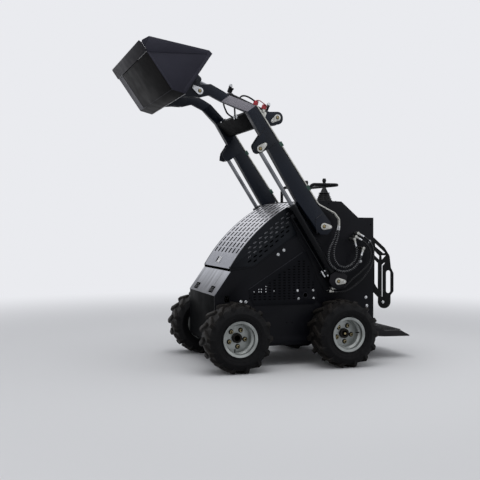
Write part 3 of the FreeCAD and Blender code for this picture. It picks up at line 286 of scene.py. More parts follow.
def startMaterial(name, metallic=0.0, roughness=0.5, **more):
    material = bpy.data.materials.new(name)
    material.use_nodes = True
    tree = material.node_tree
    shader = tree.nodes["Principled BSDF"]
    shader.inputs["Metallic"].default_value = metallic
    shader.inputs["Roughness"].default_value = roughness
    for socket, value in more.items():
        shader.inputs[socket.replace("_", " ")].default_value = value
    place = addNode(tree, "ShaderNodeTexCoord", {}, {}).outputs["Object"]
    return material, tree, shader, place


def noise(tree, place, sizeMm, detail=2.0, stretch=None):
    if stretch:
        place = addNode(tree, "ShaderNodeMapping", {}, {"Vector": place, "Scale": stretch}).outputs["Vector"]
    node = addNode(tree, "ShaderNodeTexNoise", {},
                   {"Vector": place, "Scale": 1000 / sizeMm, "Detail": detail})
    return node.outputs["Fac"]


def blendColours(tree, shader, factor, low, high, span=(0.35, 0.65)):
    ramp = addNode(tree, "ShaderNodeValToRGB", {}, {"Fac": factor})
    ramp.color_ramp.elements[0].position = span[0]
    ramp.color_ramp.elements[1].position = span[1]
    ramp.color_ramp.elements[0].color = fromHex(low)
    ramp.color_ramp.elements[1].color = fromHex(high)
    tree.links.new(ramp.outputs["Color"], shader.inputs["Base Color"])


def rough(tree, shader, factor, low, high):
    spread = addNode(tree, "ShaderNodeMapRange", {}, {"Value": factor, "From Min": 0.3, "From Max": 0.7,
                                                      "To Min": low, "To Max": high})
    tree.links.new(spread.outputs["Result"], shader.inputs["Roughness"])


def bump(tree, shader, height, strength, depthMm):
    node = addNode(tree, "ShaderNodeBump", {}, {"Height": height, "Strength": strength,
                                                "Distance": depthMm / 1000})
    tree.links.new(node.outputs["Normal"], shader.inputs["Normal"])


coat = {"grainMm": 2.2, "cloudMm": 260, "smooth": 0.36, "dull": 0.5}


def powderCoat(name, dark, light, dull=0.0, sheen=0.2):
    # Powder-coated steel: fine orange peel, soft sheen, a little dust cloud
    material, tree, shader, place = startMaterial(name, 0.0, 0.42, Specular_IOR_Level=sheen)
    blendColours(tree, shader, noise(tree, place, coat["cloudMm"], 4.0), dark, light)
    rough(tree, shader, noise(tree, place, 90, 5.0), coat["smooth"] + dull, coat["dull"] + dull)
    bump(tree, shader, noise(tree, place, coat["grainMm"]), 0.2, 0.1)
    return material


def brushedSteel(name, low, high, stretch, roughness, streakMm, rise):
    # Brushed stainless sheet: long streaks along the grain, and a painted reflection: darker low down, lighter high up,
    # for road below and sky above
    material, tree, shader, place = startMaterial(name, 1.0, roughness)
    streak = noise(tree, place, streakMm, 6.0, stretch)
    height = addNode(tree, "ShaderNodeSeparateXYZ", {}, {"Vector": place})
    # Painted reflection: the tone ramps from dark at the lower height of rise to light at the upper one
    paintedSkyRamp = addNode(tree, "ShaderNodeMapRange", {}, {"Value": height.outputs["Z"], "From Min": rise[0] / 1000,
                                                    "From Max": rise[1] / 1000, "To Min": -0.25, "To Max": 0.2})
    tone = addNode(tree, "ShaderNodeMath", {"operation": "ADD"}, {0: streak, 1: paintedSkyRamp.outputs["Result"]})
    blendColours(tree, shader, tone.outputs["Value"], low, high, (0.3, 0.7))
    rough(tree, shader, streak, roughness - 0.08, roughness + 0.12)
    bump(tree, shader, streak, 0.2, 0.05)
    return material


def zincPlate(name, low, high, roughness=0.34):
    # Bright zinc on steel: grey-white metal with faint crystal clouds
    material, tree, shader, place = startMaterial(name, 1.0, roughness)
    cloud = noise(tree, place, 14, 4.0)
    blendColours(tree, shader, cloud, low, high)
    rough(tree, shader, cloud, roughness - 0.08, roughness + 0.1)
    return material


def wheelPaint(name):
    # Silver wheel paint over pressed steel, with faint dusty clouds
    material, tree, shader, place = startMaterial(name, 0.6, 0.38)
    blendColours(tree, shader, noise(tree, place, 60, 5.0), "8d918f", "a9adab")
    rough(tree, shader, noise(tree, place, 30, 5.0), 0.3, 0.46)
    bump(tree, shader, noise(tree, place, 1.6), 0.12, 0.06)
    return material


def tyreRubber(name, axleMm):
    # Moulded tyre rubber: black clean walls, brown-grey road dust on the worn lugs
    material, tree, shader, place = startMaterial(name, 0.0, 0.7, Specular_IOR_Level=0.14)
    centre = (-(axleX + axleMm / 1000), 0.0, -axleZ / 1000)
    flat = addNode(tree, "ShaderNodeMapping", {}, {"Vector": place, "Scale": (1, 0, 1), "Location": centre})
    reach = addNode(tree, "ShaderNodeVectorMath", {"operation": "LENGTH"}, {0: flat.outputs["Vector"]})
    dust = addNode(tree, "ShaderNodeMath", {"operation": "MULTIPLY_ADD"},
                   {0: noise(tree, place, 16, 6.0), 1: 0.05, 2: reach.outputs["Value"]})
    worn = addNode(tree, "ShaderNodeMapRange", {}, {"Value": dust.outputs["Value"], "From Min": 0.222,
                                                    "From Max": 0.262, "To Min": 0.0, "To Max": 1.0})
    blendColours(tree, shader, worn.outputs["Result"], tyre["wall"], tyre["dust"], (0.0, 1.0))
    rough(tree, shader, noise(tree, place, 20, 5.0), 0.5, 0.72)
    bump(tree, shader, noise(tree, place, 2.0, 4.0), 0.3, 0.2)
    return material


def softRubber(name, low, high, roughness):
    # Moulded rubber and hose cover: even black with a soft sheen
    material, tree, shader, place = startMaterial(name, 0.0, roughness, Specular_IOR_Level=0.22)
    blendColours(tree, shader, noise(tree, place, 25, 4.0), low, high)
    bump(tree, shader, noise(tree, place, 1.2, 3.0), 0.2, 0.08)
    return material


def hardChrome(name):
    # Hard chrome rod: a mirror with its colour painted dark, a painted reflection of dark surroundings
    material, tree, shader, place = startMaterial(name, 1.0, 0.16)
    blendColours(tree, shader, noise(tree, place, 120, 2.0), "5c5e62", "74767a")
    rough(tree, shader, noise(tree, place, 90, 2.0), 0.12, 0.2)
    return material


def castIron(name):
    # Painted cast iron: dark, coarse sand-cast skin
    material, tree, shader, place = startMaterial(name, 0.1, 0.65)
    blendColours(tree, shader, noise(tree, place, 18, 5.0), "151618", "212225")
    bump(tree, shader, noise(tree, place, 3.0, 4.0), 0.5, 0.3)
    return material


def clearPlastic(name, low, high, roughness, sheen=0.5):
    # Moulded plastic: one colour, slight gloss, fine texture
    material, tree, shader, place = startMaterial(name, 0.0, roughness, Specular_IOR_Level=sheen)
    blendColours(tree, shader, noise(tree, place, 20, 3.0), low, high)
    bump(tree, shader, noise(tree, place, 0.9), 0.12, 0.05)
    return material


tyre = {"edge": 3.0, "wall": "0a0a0c", "dust": "211e1b", "rings": ((128.0, 1.6), (146.0, 2.2)), "wallY": 115.2}
framePaint = powderCoat("powderCoatedSteel", "0b0c10", "111217", 0.04, 0.1)
finishes = {
    "black_paint": framePaint,
    # The grille's sheet carries a painted sky reflection, lighter towards its top
    "bright_steel": brushedSteel("brushedStainlessSheet", "8a8c94", "e4e4e8", (0.1, 1.0, 0.1), 0.33, 7, (720, 1000)),
    "cast_iron": castIron("paintedCastIron"),
    "wheel_silver": wheelPaint("silverWheelPaint"),
    "hub_black": powderCoat("blackHubPaint", "0b0b0c", "111112", 0.0, 0.12),
    "tyre_rubber": tyreRubber("mouldedTyreRubber", 0),
    "zinc": zincPlate("zincPlatedSteel", "8f8f8b", "bdbdb7"),
    "chrome_rod": hardChrome("hardChromedSteel"),
    "edge_steel": powderCoat("rolledEdgeSteel", "2e2d32", "3a393e", 0.0, 0.03),
    "lamp_housing": clearPlastic("mouldedLampHousing", "0b0c0f", "121317", 0.3),
    "lever_rubber": softRubber("mouldedRubber", "090a0b", "0f1012", 0.5),
    "green_plastic": clearPlastic("greenPolypropylene", "09352a", "0d4234", 0.42),
    "hose_rubber": softRubber("hydraulicHoseCover", "0a0b0d", "121316", 0.45),
}
# Lit and shaded copies of the one black paint: each node gets its own lighter or darker tone for how light falls on it,
# and some are rougher or glossier
tones = {
    "armPaint": powderCoat("armPowderCoat", "0f141d", "151b26"),
    "towerPaint": powderCoat("towerPowderCoat", "131216", "19181d", 0.08, 0.16),
    "bucketPaint": powderCoat("bucketPowderCoat", "2e2e38", "373742", 0.06, 0.14),
    "doorPaint": powderCoat("doorPowderCoat", "0d0e12", "121318", 0.1, 0.08),
    "hoodPaint": powderCoat("hoodPowderCoat", "0e1116", "14181e", 0.0, 0.14),
    "guardPaint": powderCoat("guardPowderCoat", "0e0f10", "141516", 0.1, 0.1),
    "stepPaint": powderCoat("stepPowderCoat", "19191b", "222225", 0.15),
    "floorPaint": powderCoat("bucketFloorPowderCoat", "1a1a1b", "2a2929", 0.0, 0.01),
    "shadedPaint": powderCoat("shadedPowderCoat", "0c0d0e", "121314", 0.05, 0.01),
    # Painted reflection: a pale grey standing for sky glare on the arm's black paint
    "skyGlarePaint": powderCoat("armPaintedSkyGlare", "54525a", "66646c", 0.1, 0.3),
    "barrelPaint": powderCoat("glossBarrelPaint", "06080c", "0a0c11", -0.2, 0.12),
}
toneOf = {
    "arm_left": "armPaint", "arm_right": "armPaint", "cross_member": "shadedPaint", "gooseneck_left": "armPaint",
    "gooseneck_right": "armPaint", "tilt_ears": "armPaint", "bucket_ears": "armPaint",
    "bucket_shell": "bucketPaint", "main_frame": "shadedPaint", "side_doors": "doorPaint", "hood_shell": "hoodPaint",
    "rear_guards": "guardPaint", "platform": "stepPaint", "lift_barrel_left": "barrelPaint",
    "lift_barrel_right": "barrelPaint", "tilt_barrel": "barrelPaint", "console_top": "towerPaint",
}
# The nose sheet carries a painted reflection, darker low down and lighter high up
noseSheet = brushedSteel("brushedNoseSheet", "505157", "b4b6bc", (0.12, 1.0, 0.12), 0.32, 60, (500, 670))
yellowZinc = zincPlate("yellowZincPlate", "7d7150", "a89c78", 0.32)
brassBolt = zincPlate("yellowPassivatedBolt", "8a7b58", "aa9c78", 0.36)
brightZinc = zincPlate("brightZincFitting", "a4a6a8", "d6d8da", 0.26)
redPlastic = clearPlastic("redSoftPlastic", "8c1220", "b01a2b", 0.4)
guardPlastic = clearPlastic("spiralGuardPlastic", "85878b", "a9abaf", 0.35)
darkGuard = clearPlastic("blackSpiralGuard", "26272a", "323337", 0.3)
# A mid grey used for painted highlights on edges and welds, and as the tie ring's own dull tone
greyHighlightAndTrim = powderCoat("greyPaintedHighlightAndTrim", "2e2f33", "3a3b40", 0.1, 0.05)
litSheet = powderCoat("hoodInnerLitSheet", "96989e", "b4b6bb", 0.1)
# Near-black without sheen: painted shade in slots, holes, grooves and behind the grilles, and the black of some small
# parts
slotShade = powderCoat("blackPaintedShade", "010101", "030303", 0.4, 0.0)
hubIron = powderCoat("dustyHubIron", "221f1c", "2f2b27", 0.15, 0.15)
ledGlass = clearPlastic("lampLensPlastic", "0d0e11", "191a1f", 0.2, 0.12)
weldHighlight = powderCoat("brightWeldBead", "c2c2c4", "e8e8ea")
latchSkyReflection = powderCoat("latchPaintedSkyReflection", "d4d5d8", "ececef")
for nodeName, node in cadNodes.items():
    paint(node, tones[toneOf[nodeName]] if nodeName in toneOf else finishes[slotOf[nodeName]])
paint(cadNodes["front_plate"], noseSheet)
rearTyre = tyreRubber("mouldedRearTyreRubber", -wheelbase)
print("materials set")

# Plates and castings get their rolled edges: node, edge width
edges = {
    "main_frame": 1.5, "side_plates": 1.2, "side_doors": 0.5, "tower_plates": 1.2, "console_top": 0.8,
    "rear_guards": 1.4, "platform_bracket": 1.0, "arm_left": 2.0, "arm_right": 2.0, "cross_member": 2.0,
    "gooseneck_left": 2.0, "gooseneck_right": 2.0, "tilt_ears": 1.6, "bucket_shell": 1.2, "bucket_ears": 1.2,
    "hood_shell": 0.6, "platform": 3.0, "frame_pins": 0.8, "boom_pins": 0.8, "line_clamps": 1.5,
    "cutting_edge": 1.0, "handlebar": 0.6, "lift_barrel_left": 1.0, "lift_barrel_right": 1.0,
    "tilt_barrel": 1.0, "valve_fittings": 0.8, "tool_couplers": 1.0,
}


def dressNode(nodeName, width, material=None):
    source = cadNodes[nodeName]
    copy = source.copy()
    copy.data = source.data.copy()
    bpy.context.scene.collection.objects.link(copy)
    copy.parent = None
    copy.matrix_world = Matrix.Identity(4)
    copy.name = nodeName + "_finished"
    pickOnly(copy)
    bpy.ops.object.mode_set(mode="EDIT")
    bpy.ops.mesh.select_all(action="SELECT")
    bpy.ops.mesh.remove_doubles(threshold=0.00001)
    bpy.ops.mesh.dissolve_limited(angle_limit=math.radians(0.5))
    bpy.ops.object.mode_set(mode="OBJECT")
    bevelEdges(copy, width)
    smooth(copy, 32)
    settle(copy, material or source.data.materials[0], bodyOf[nodeName])
    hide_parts(nodeName)


for nodeName, width in edges.items():
    dressNode(nodeName, width)
for side in ("left", "right"):
    dressNode("tyre_front_" + side, tyre["edge"])
    dressNode("tyre_rear_" + side, tyre["edge"], rearTyre)
# Painted reflection: the slanted box faces are painted pale grey as a glare of sky light
for side, sign in (("left", 1), ("right", -1)):
    mesh = bpy.data.objects["gooseneck_" + side + "_finished"].data
    mesh.materials.append(tones["skyGlarePaint"])
    slantedFace = Vector((0.40, 0.74 * sign, 0.535)).normalized()
    for face in mesh.polygons:
        if face.normal.dot(slantedFace) > 0.97:
            face.material_index = 1
print("edges rolled")

# Wheels: nuts on black seats, hub face, valve, rings on the tyre's wall
nut = {"circle": 57.15, "count": 5, "phase": 0.82, "across": 11.5, "height": 15.0, "faceY": 17.0}
hub = {"faceY": 35.0, "nose": [(32.6, -6), (32.4, 1.0), (31, 2.0), (27, 2.0), (26, 0.6), (12, 0.4)],
       "cap": [(19, 0), (18.6, 3.4), (16, 4.6), (8, 5.0)],
       "bolt": [(8, 0), (8, 4), (6.8, 5.2), (3, 5.2), (2.6, 3.4)]}
valve = {"front": 288, "rear": 176, "radius": 3.6}


def dressWheel(axle, side):
    sign = 1 if side == "left" else -1
    x0 = 0 if axle == "front" else -wheelbase
    body, label = "wheel_%s_%s" % (axle, side), "_%s_%s" % (axle, side)
    out = (0, sign, 0)

    def onWheel(radius, degrees, out):
        angle = math.radians(degrees)
        return spot(x0 + radius * math.cos(angle), sign * (wheelY + out), axleZ + radius * math.sin(angle))

    clearPick()
    bpy.ops.mesh.primitive_cylinder_add(vertices=6, radius=nut["across"] / 1000, depth=nut["height"] / 1000)
    pattern = bpy.context.active_object
    pickFaces(pattern, lambda c, n: n.z > 0.9)
    bpy.ops.mesh.inset(thickness=0.0016)
    bpy.ops.mesh.extrude_region_move(TRANSFORM_OT_translate={"value": (0, 0, 0.0012)})
    bpy.ops.object.mode_set(mode="OBJECT")
    bevelEdges(pattern, 0.8)
    smooth(pattern)
    degrees = [math.degrees(nut["phase"]) + 360 / nut["count"] * i for i in range(nut["count"])]
    places = [facing(onWheel(nut["circle"], d, nut["faceY"] + nut["height"] / 2), out, 15 + 40 * d) for d in degrees]
    settle(copies(pattern, places, "wheelNuts" + label), yellowZinc, body)
    seat = turned([(17, -1), (17, 0.8), (14, 2.6), (12, 2.6)], 24)
    places = [facing(onWheel(nut["circle"], d, nut["faceY"]), out) for d in degrees]
    settle(copies(seat, places, "nutSeats" + label), finishes["hub_black"], body)
    face = facing(onWheel(0, 0, hub["faceY"]), out)
    settle(moved(turned(hub["nose"], 40), face), hubIron, body, "hubNose" + label)
    settle(moved(turned(hub["cap"], 32), face), slotShade, body, "hubCap" + label)
    if axle == "rear":
        face = facing(onWheel(0, 0, hub["faceY"] + 4.6), out)
        settle(moved(turned(hub["bolt"], 12), face), brassBolt, body, "hubBolt" + label)
    stem = turned([(5.4, 0), (5.0, 8), (3.4, 10), (3.2, 18), (4.2, 18.5), (4.2, 25), (3, 26)], 16)
    root = onWheel(97, valve[axle], 64)
    tip = onWheel(74, valve[axle], 56)
    settle(moved(stem, facing(root, tip - root)), finishes["tyre_rubber"], body, "valve" + label)
    rings = [moved(ringBead(radius, thick, 0.45), facing(onWheel(0, 0, tyre["wallY"] - (146 - radius) * 0.32), out))
             for radius, thick in tyre["rings"]]
    settle(joinPieces(rings, "wallRings" + label), finishes["tyre_rubber"] if axle == "front" else rearTyre,
           body)


for axle in ("front", "rear"):
    for side in ("left", "right"):
        dressWheel(axle, side)
print("wheels done")

# Dome bolts on the side plates, doors and guards
bolt = {"radius": 11.0, "height": 6.5}
plateBolts = [(-390, 799), (-348, 769), (-76, 450), (-112, 448), (-1050, 856), (-979, 714), (-1022, 456),
              (-1029, 395), (-1158, 418)]
doorBolts = [(-491, 517), (-610, 516), (-499, 461), (-614, 461)]
doorRivets = [(-171, 514), (-205, 531), (-223, 531), (-205, 514), (-223, 514), (-257, 550), (-257, 532),
              (-257, 514), (-317, 518)]
smallHoles = [(-730, 1125), (-1060, 978), (-669, 853), (-412, 296), (-452, 295), (-139, 472), (-638, 445),
              (-1029, 456), (-1032, 392)]


def domeBolt(radius, height):
    # Washer, then a dome with a hex socket
    head = turned([(radius, 0), (radius, 0.2 * height), (radius * 0.86, 0.22 * height), (radius * 0.84, 0.6 * height),
                   (radius * 0.7, 0.85 * height), (radius * 0.5, height)], 24, 40)
    pickFaces(head, lambda c, n: n.z > 0.99 and c.xy.length < 1e-4 and c.z > 0.9 * height / 1000)
    bpy.ops.mesh.inset(thickness=radius * 0.12 / 1000)
    bpy.ops.mesh.extrude_region_move(TRANSFORM_OT_translate={"value": (0, 0, -0.4 * height / 1000)})
    bpy.ops.object.mode_set(mode="OBJECT")
    return head


def boltSet(name, points, radius, height, body, material=None, direction=None):
    places = [facing(spot(x, y, z), direction or (0, math.copysign(1, y), 0)) for x, y, z in points]
    settle(copies(domeBolt(radius, height), places, name), material or brightZinc, body)


boltSet("plateBolts", bothSides([(x, plateY, z) for x, z in plateBolts]), bolt["radius"], bolt["height"], "chassis")
boltSet("doorBolts", bothSides([(x, doorY, z) for x, z in doorBolts]), 8.5, 5, "chassis")
boltSet("doorRivets", bothSides([(x, doorY, z) for x, z in doorRivets]), 4.0, 2.4, "chassis")
# Painted shade: small black domes stand for the dark of small holes in the plates
boltSet("smallHoleShades", bothSides([(x, plateY - 0.5, z) for x, z in smallHoles]), 4.5, 2.0, "chassis", slotShade)
print("bolts done")

# Pin flags: a teardrop plate, a bolt at its centre and a smaller one at its tail
flag = {"reach": 46.0, "centre": 9.0, "tailRadius": 6.0, "big": 24.0, "small": 13.0}
flagPlaces = [
    ("pivotFlag", -659, 405, 964, 184, "chassis"), ("baseFlag", -770, 402, 580, 184, "chassis"),
    ("liftFlag", -187, 406, 1490, 140, "boom"), ("earFlag", -446, 51, 1756, -35, "boom"),
    ("bucketFlag", 201, 268, 1883, 30, "bucket")]


def teardrop(x, z, degrees, big, small, reach):
    # Outline of two arcs joined by their tangents, as 24 points
    spread = math.acos((big - small) / reach)
    points = []
    for centre, radius, first, last in ((0, big, spread, 2 * math.pi - spread), (reach, small, -spread, spread)):
        for i in range(12):
            angle = first + (last - first) * i / 11
            points.append((centre + radius * math.cos(angle), radius * math.sin(angle)))
    turn = math.radians(degrees)
    return [(x + a * math.cos(turn) - b * math.sin(turn), z + a * math.sin(turn) + b * math.cos(turn))
            for a, b in points]


for name, x, y, z, degrees, body in flagPlaces:
    turn = math.radians(degrees)
    tail = (x + flag["reach"] * math.cos(turn), y, z + flag["reach"] * math.sin(turn))
    boltSet(name + "Centre", bothSides([(x, y, z)]), flag["centre"], 6.0, body, brassBolt)
    boltSet(name + "Tail", bothSides([tail]), flag["tailRadius"], 3.5, body)
    dark = [facing(spot(x, side * (y - 0.4), z), (0, side, 0)) for side in (1, -1)]
    settle(copies(turned([(13, 0), (13, 0.9), (9.5, 0.9)], 28), dark, name + "Washer"), slotShade, body)
platePair("bucketFlagPlate", teardrop(201, 1883, 30, 24.6, 13.6, 46), 262.6, 268.2, brightZinc, "bucket", 1.2)
print("flags done")

# Bucket: corner plates, folded band, floor and back strips, wear plates, weld beads and edges with painted highlights
bucket = {"corners": [(318, 7), (357, 67), (357.5, 66), (361, 16), (352, 7.5)],
          "bands": [(279, 3), (318, 8), (356, 67), (77, 354), (64, 330)],
          "floorStrips": [(2, 0.6), (278, 0.6), (276, 11), (6, 11)],
          "backStrips": [(-66, 62), (-44, 62), (58, 330), (40, 334)],
          "wear": [(4, -2.6), (283, -2.6), (286, 0.5), (1, 0.5)],
          "stepShade": [(4, -2.8), (284, -2.8), (284, 0), (4, 0)],
          "foot": [(-69.5, 59.6), (-0.5, 0.4), (-1.6, -0.6), (-70.5, 58.6)],
          "lip": (287, -1.5), "back": (-70, 60), "side": 518, "backSide": 515}


def bucketOutline(part):
    return [bucketSpot(x, z) for x, z in bucket[part]]


def bucketPair(name, part, yLow, yHigh, edge=0.6):
    platePair(name, bucketOutline(part), yLow, yHigh, tones["bucketPaint"], "bucket", edge=edge)


bucketPair("bucketCorners", "corners", 512, 520)
bucketPair("bucketBands", "bands", 519, 523, 1.6)
bucketPair("bucketFloorStrips", "floorStrips", 519, 522.4, 1.0)
bucketPair("bucketBackStrips", "backStrips", 519, 521.6, 0.8)
for name, part, yLow, yHigh, edge, material in (
        ("bucketWearPlate", "wear", -357, 516, 0.8, tones["floorPaint"]),
        # Painted shade: a black strip at the wear plate's end stands for the shade in the step
        ("bucketFloorStepShade", "stepShade", -364, -357, 0.0, slotShade),
        ("bucketFootPlate", "foot", -515, 515, 0.4, tones["floorPaint"])):
    settle(outlinePlate(bucketOutline(part), yLow, yHigh, edge), material, "bucket", name)


def rodThrough(name, points, radius, material, body):
    settle(toMesh(routeCurve(name, points, radius / 1000)), material, body, name)


def toMesh(curve):
    # A curve turned into a smooth mesh
    pickOnly(curve)
    bpy.ops.object.convert(target="MESH")
    piece = bpy.context.active_object
    smooth(piece, 60)
    return piece


def routeCurve(name, points, radius):
    curve = bpy.data.curves.new(name, "CURVE")
    curve.dimensions = "3D"
    curve.bevel_depth = radius
    curve.bevel_resolution = 4
    curve.resolution_u = 12
    curve.use_fill_caps = True
    spline = curve.splines.new("NURBS")
    spline.points.add(len(points) - 1)
    for point, place in zip(spline.points, points):
        point.co = (place.x, place.y, place.z, 1)
    spline.order_u = 3
    spline.use_endpoint_u = True
    piece = bpy.data.objects.new(name, curve)
    bpy.context.scene.collection.objects.link(piece)
    return piece


# The lip welds are real beads painted white as a highlight
lipX, lipZ = bucketSpot(*bucket["lip"])
for name, start, end in (("lipWeldLeft", bucket["side"], 254), ("lipWeldRight", -bucket["side"], -357)):
    rodThrough(name, [spot(lipX, start, lipZ), spot(lipX, (start + end) / 2, lipZ), spot(lipX, end, lipZ)], 3.6,
               weldHighlight, "bucket")
# Painted highlight: a white bead along the heel edge stands for the light it catches
backX, backZ = bucketSpot(*bucket["back"])
rodThrough("backWeld", [spot(backX, y, backZ) for y in (bucket["backSide"], 0, -bucket["backSide"])], 2.6,
           weldHighlight, "bucket")
print("bucket done")

# Elbow: gusset plates on the arms, foot plates, coupler caps with their strap, port nuts
elbow = {"gusset": [(-239, 1645), (-186, 1581), (-140, 1501), (-137, 1465), (-170, 1456), (-198, 1467), (-234, 1494),
                    (-314, 1528), (-309, 1543)],
         "foot": [(-664, 1043), (-593, 985), (-603, 940), (-637, 908), (-690, 908), (-729, 950)],
         "lug": [(-773, 663), (-712, 626), (-700, 580), (-722, 545), (-784, 531), (-830, 560), (-839, 618)]}
platePair("armGussets", elbow["gusset"], 390, 394.4, tones["armPaint"], "boom", edge=1.2)
platePair("armFootPlates", elbow["foot"], 390, 397.2, tones["armPaint"], "boom", edge=1.6)
platePair("cylinderLugPlates", elbow["lug"], 393, 397.4, tones["towerPaint"], "chassis", edge=1.4)
capLean = (-0.3, 0, 0.954)
cap = turned([(16.4, 0), (17.4, 1), (17.4, 26), (15.6, 31), (12, 33.5), (8, 34)], 28)
caps = copies(cap, [facing(spot(-204.5, 243, 1806), capLean), facing(spot(-266.5, 243, 1782), capLean)], "couplerCaps")
settle(caps, redPlastic, "boom")
rodThrough("capStrap", [spot(-204, 254, 1836), spot(-222, 262, 1846), spot(-255, 263, 1824), spot(-283, 261, 1806),
                        spot(-286, 258, 1796)], 3.2, redPlastic, "boom")
portNut = turned([(14, 0), (14, 12), (12.4, 13), (9, 13), (9, 20), (7, 21)], 6, 20)
portLean = (-0.374, 0, 0.927)
portTops = [spot(-393, 0, 1848), spot(-101, 0, 1969)]
settle(copies(portNut, [facing(top, portLean) for top in portTops], "tiltPortNuts"), brightZinc, "tilt_barrel")
stem = turned([(11, -40), (11, -6), (12.5, -5), (12.5, 0.5)], 20)
settle(copies(stem, [facing(top, portLean) for top in portTops], "tiltPortStems"), tones["barrelPaint"],
       "tilt_barrel")
lineNut = turned([(8, 0), (8, 15), (6.8, 16), (6.8, 30), (5.5, 31)], 6, 20)
nutPlaces = [((-104, 150, 1722), (0.1, 0, 1)), ((-102, 104, 1722), (0.2, 0, 1)), ((-128, -296, 1724), (0.3, 0.2, 0.9)),
             ((-164, -300, 1700), (0.8, 0, 0.5))]
nuts = copies(lineNut, [facing(spot(*p), d) for p, d in nutPlaces], "crossNuts")
settle(nuts, brightZinc, "boom")
adapter = turned([(6, -4), (6, 6), (9.5, 6.5), (9.5, 17), (7, 18), (7, 34), (9, 34.5), (9, 46), (6.4, 47)], 6, 20)
for side, sign in (("left", 1), ("right", -1)):
    pattern = adapter.copy()
    pattern.data = adapter.data.copy()
    bpy.context.scene.collection.objects.link(pattern)
    places = [facing(spot(x, sign * 372, z), (-0.54, 0, -0.84)) for x, z in ((-652, 650), (-676, 655))]
    settle(copies(pattern, places, "barrelAdapters_" + side), brightZinc, "lift_barrel_" + side)
bpy.data.objects.remove(adapter)
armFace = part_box("arm_left")[1][1] * 1000 - 2.5
# Welds along the arm plates, painted grey as highlights on the plate edges
weldHighlightRuns = {"earTop": [(-226, 1636), (-204, 1604), (-181, 1573)],
            "earFoot": [(-298, 1538), (-268, 1514), (-240, 1490)],
            "tailFront": [(-611, 916), (-604, 963), (-599, 1008)],
            "tailTop": [(-600, 1014), (-624, 1032), (-648, 1050)]}
for name, run in weldHighlightRuns.items():
    for side, sign in (("Left", 1), ("Right", -1)):
        rodThrough(name + "Weld" + side, [spot(x, sign * armFace, z) for x, z in run], 3.4, greyHighlightAndTrim, "boom")
print("elbow done")

# Doors, hood and nose: painted shade behind the slots, screens painted lit and shaded, a painted highlight along the
# door edge, a latch painted with a sky reflection, and lamps
nose = {"slotShadeOutline": [(-160, 450), (-482, 450), (-482, 532), (-618, 532), (-618, 560), (-560, 742), (-510, 742),
                    (-160, 520)],
        "edgeHighlight": [(-131, 536), (-527, 785), (-530, 780.5), (-134, 531.5)],
        "hoodUpper": [(-75, 790), (-100, 812), (-200, 920), (-300, 1005), (-400, 1073), (-470, 1112),
                      (-470, 1017), (-90, 698.5), (-75, 700)],
        "hoodLower": [(-90, 697.5), (-470, 1016), (-470, 905), (-172, 697), (-90, 690)]}
# Painted shade: a black sheet on the side plate makes the door slots dark
platePair("doorSlotShade", nose["slotShadeOutline"], plateY - 0.2, plateY + 0.4, slotShade, "chassis")
# Painted highlight: a grey strip along the door's upper edge stands for the light its edge catches
platePair("doorEdgeHighlights", nose["edgeHighlight"], doorY - 0.4, doorY + 1.6, greyHighlightAndTrim, "chassis", edge=0.7)
# Behind the hood slots: the upper screens are painted pale as light falling in, the lower ones black as painted shade
platePair("hoodUpperLitScreens", nose["hoodUpper"], 309, 311, litSheet, "hood")
platePair("hoodLowerShadeScreens", nose["hoodLower"], 309, 311, slotShade, "hood")
# The grille is bent to one arc, millimetres in the side view
arcCentre, arcRadius = (-1013.33, 82.13), 1177.12


def onArc(degrees, inward):
    angle = math.radians(degrees)
    return (arcCentre[0] + (arcRadius - inward) * math.cos(angle),
            arcCentre[1] + (arcRadius - inward) * math.sin(angle))


# Painted shade: a black sheet just under the grille darkens what shows through it
shadeArc = [onArc(a, 8) for a in range(34, 64)] + [onArc(a, 10) for a in range(63, 33, -1)]
settle(outlinePlate(shadeArc, -300, 300), slotShade, "hood", "grilleShadeSheet")
# Painted shade: dark plates in the slots stand for the dark space under them, eleven ranks of seven
shadePlate = block((-20, -13.5, -1.6), (20, 13.5, 0.4), 0.3)
shadePlaces = []
for rank in range(11):
    turn = math.radians(37.2 + 2.42 * rank)
    out = Vector((math.cos(turn), 0, math.sin(turn)))
    for row in range(-3, 4):
        middle = spot(arcCentre[0] + arcRadius * out.x, row * 85, arcCentre[1] + arcRadius * out.z)
        shadePlaces.append(planted(middle, Vector((-out.z, 0, out.x)), out))
settle(copies(shadePlate, shadePlaces, "grilleSlotShade"), slotShade, "hood")

slopeUp, slopeOut = Vector((-0.569, 0, 0.822)), Vector((0.822, 0, 0.569))


def onNose(along, y, out=0.0):
    point = spot(noseX, y, noseTop) + (along * slopeUp + out * slopeOut) / 1000
    return planted(point, slopeUp, slopeOut)


pod = {"up": 42, "y": 190, "half": (25, 42), "proud": 6, "domePitch": (9.6, 19)}
for side in (1, -1):
    label = "Left" if side > 0 else "Right"
    halfUp, halfWide = pod["half"]
    shell = block((-halfUp, -halfWide, -1), (halfUp, halfWide, pod["proud"]), 1.6, 5, -2.2)
    settle(moved(shell, onNose(pod["up"], side * pod["y"])), slotShade, "chassis", "lampPod" + label)
    dome = turned([(8.6, 0), (8.6, 0.8), (7.6, 2.2), (5.6, 3.4), (3, 4.1), (0.8, 4.3)], 20, 60)
    places = [onNose(pod["up"] + a * pod["domePitch"][0], side * pod["y"] + b * pod["domePitch"][1], 3.4)
              for a in (-1, 1) for b in (-1, 0, 1)]
    settle(copies(dome, places, "lampDomes" + label), ledGlass, "chassis")
platePair("hoodSeals", [(-3, 650), (-171, 673), (-505, 900), (-505, 923), (-497, 917.5), (-172, 690.5), (0, 677.5)],
          319.6, 323.4, framePaint, "chassis", edge=0.4)
tieRing = moved(ringBead(17, 1.5, 0.8, 40), facing(spot(-551, doorY + 1, 484), (0, 1, 0)))
settle(tieRing, greyHighlightAndTrim, "chassis", "tieDownRing")
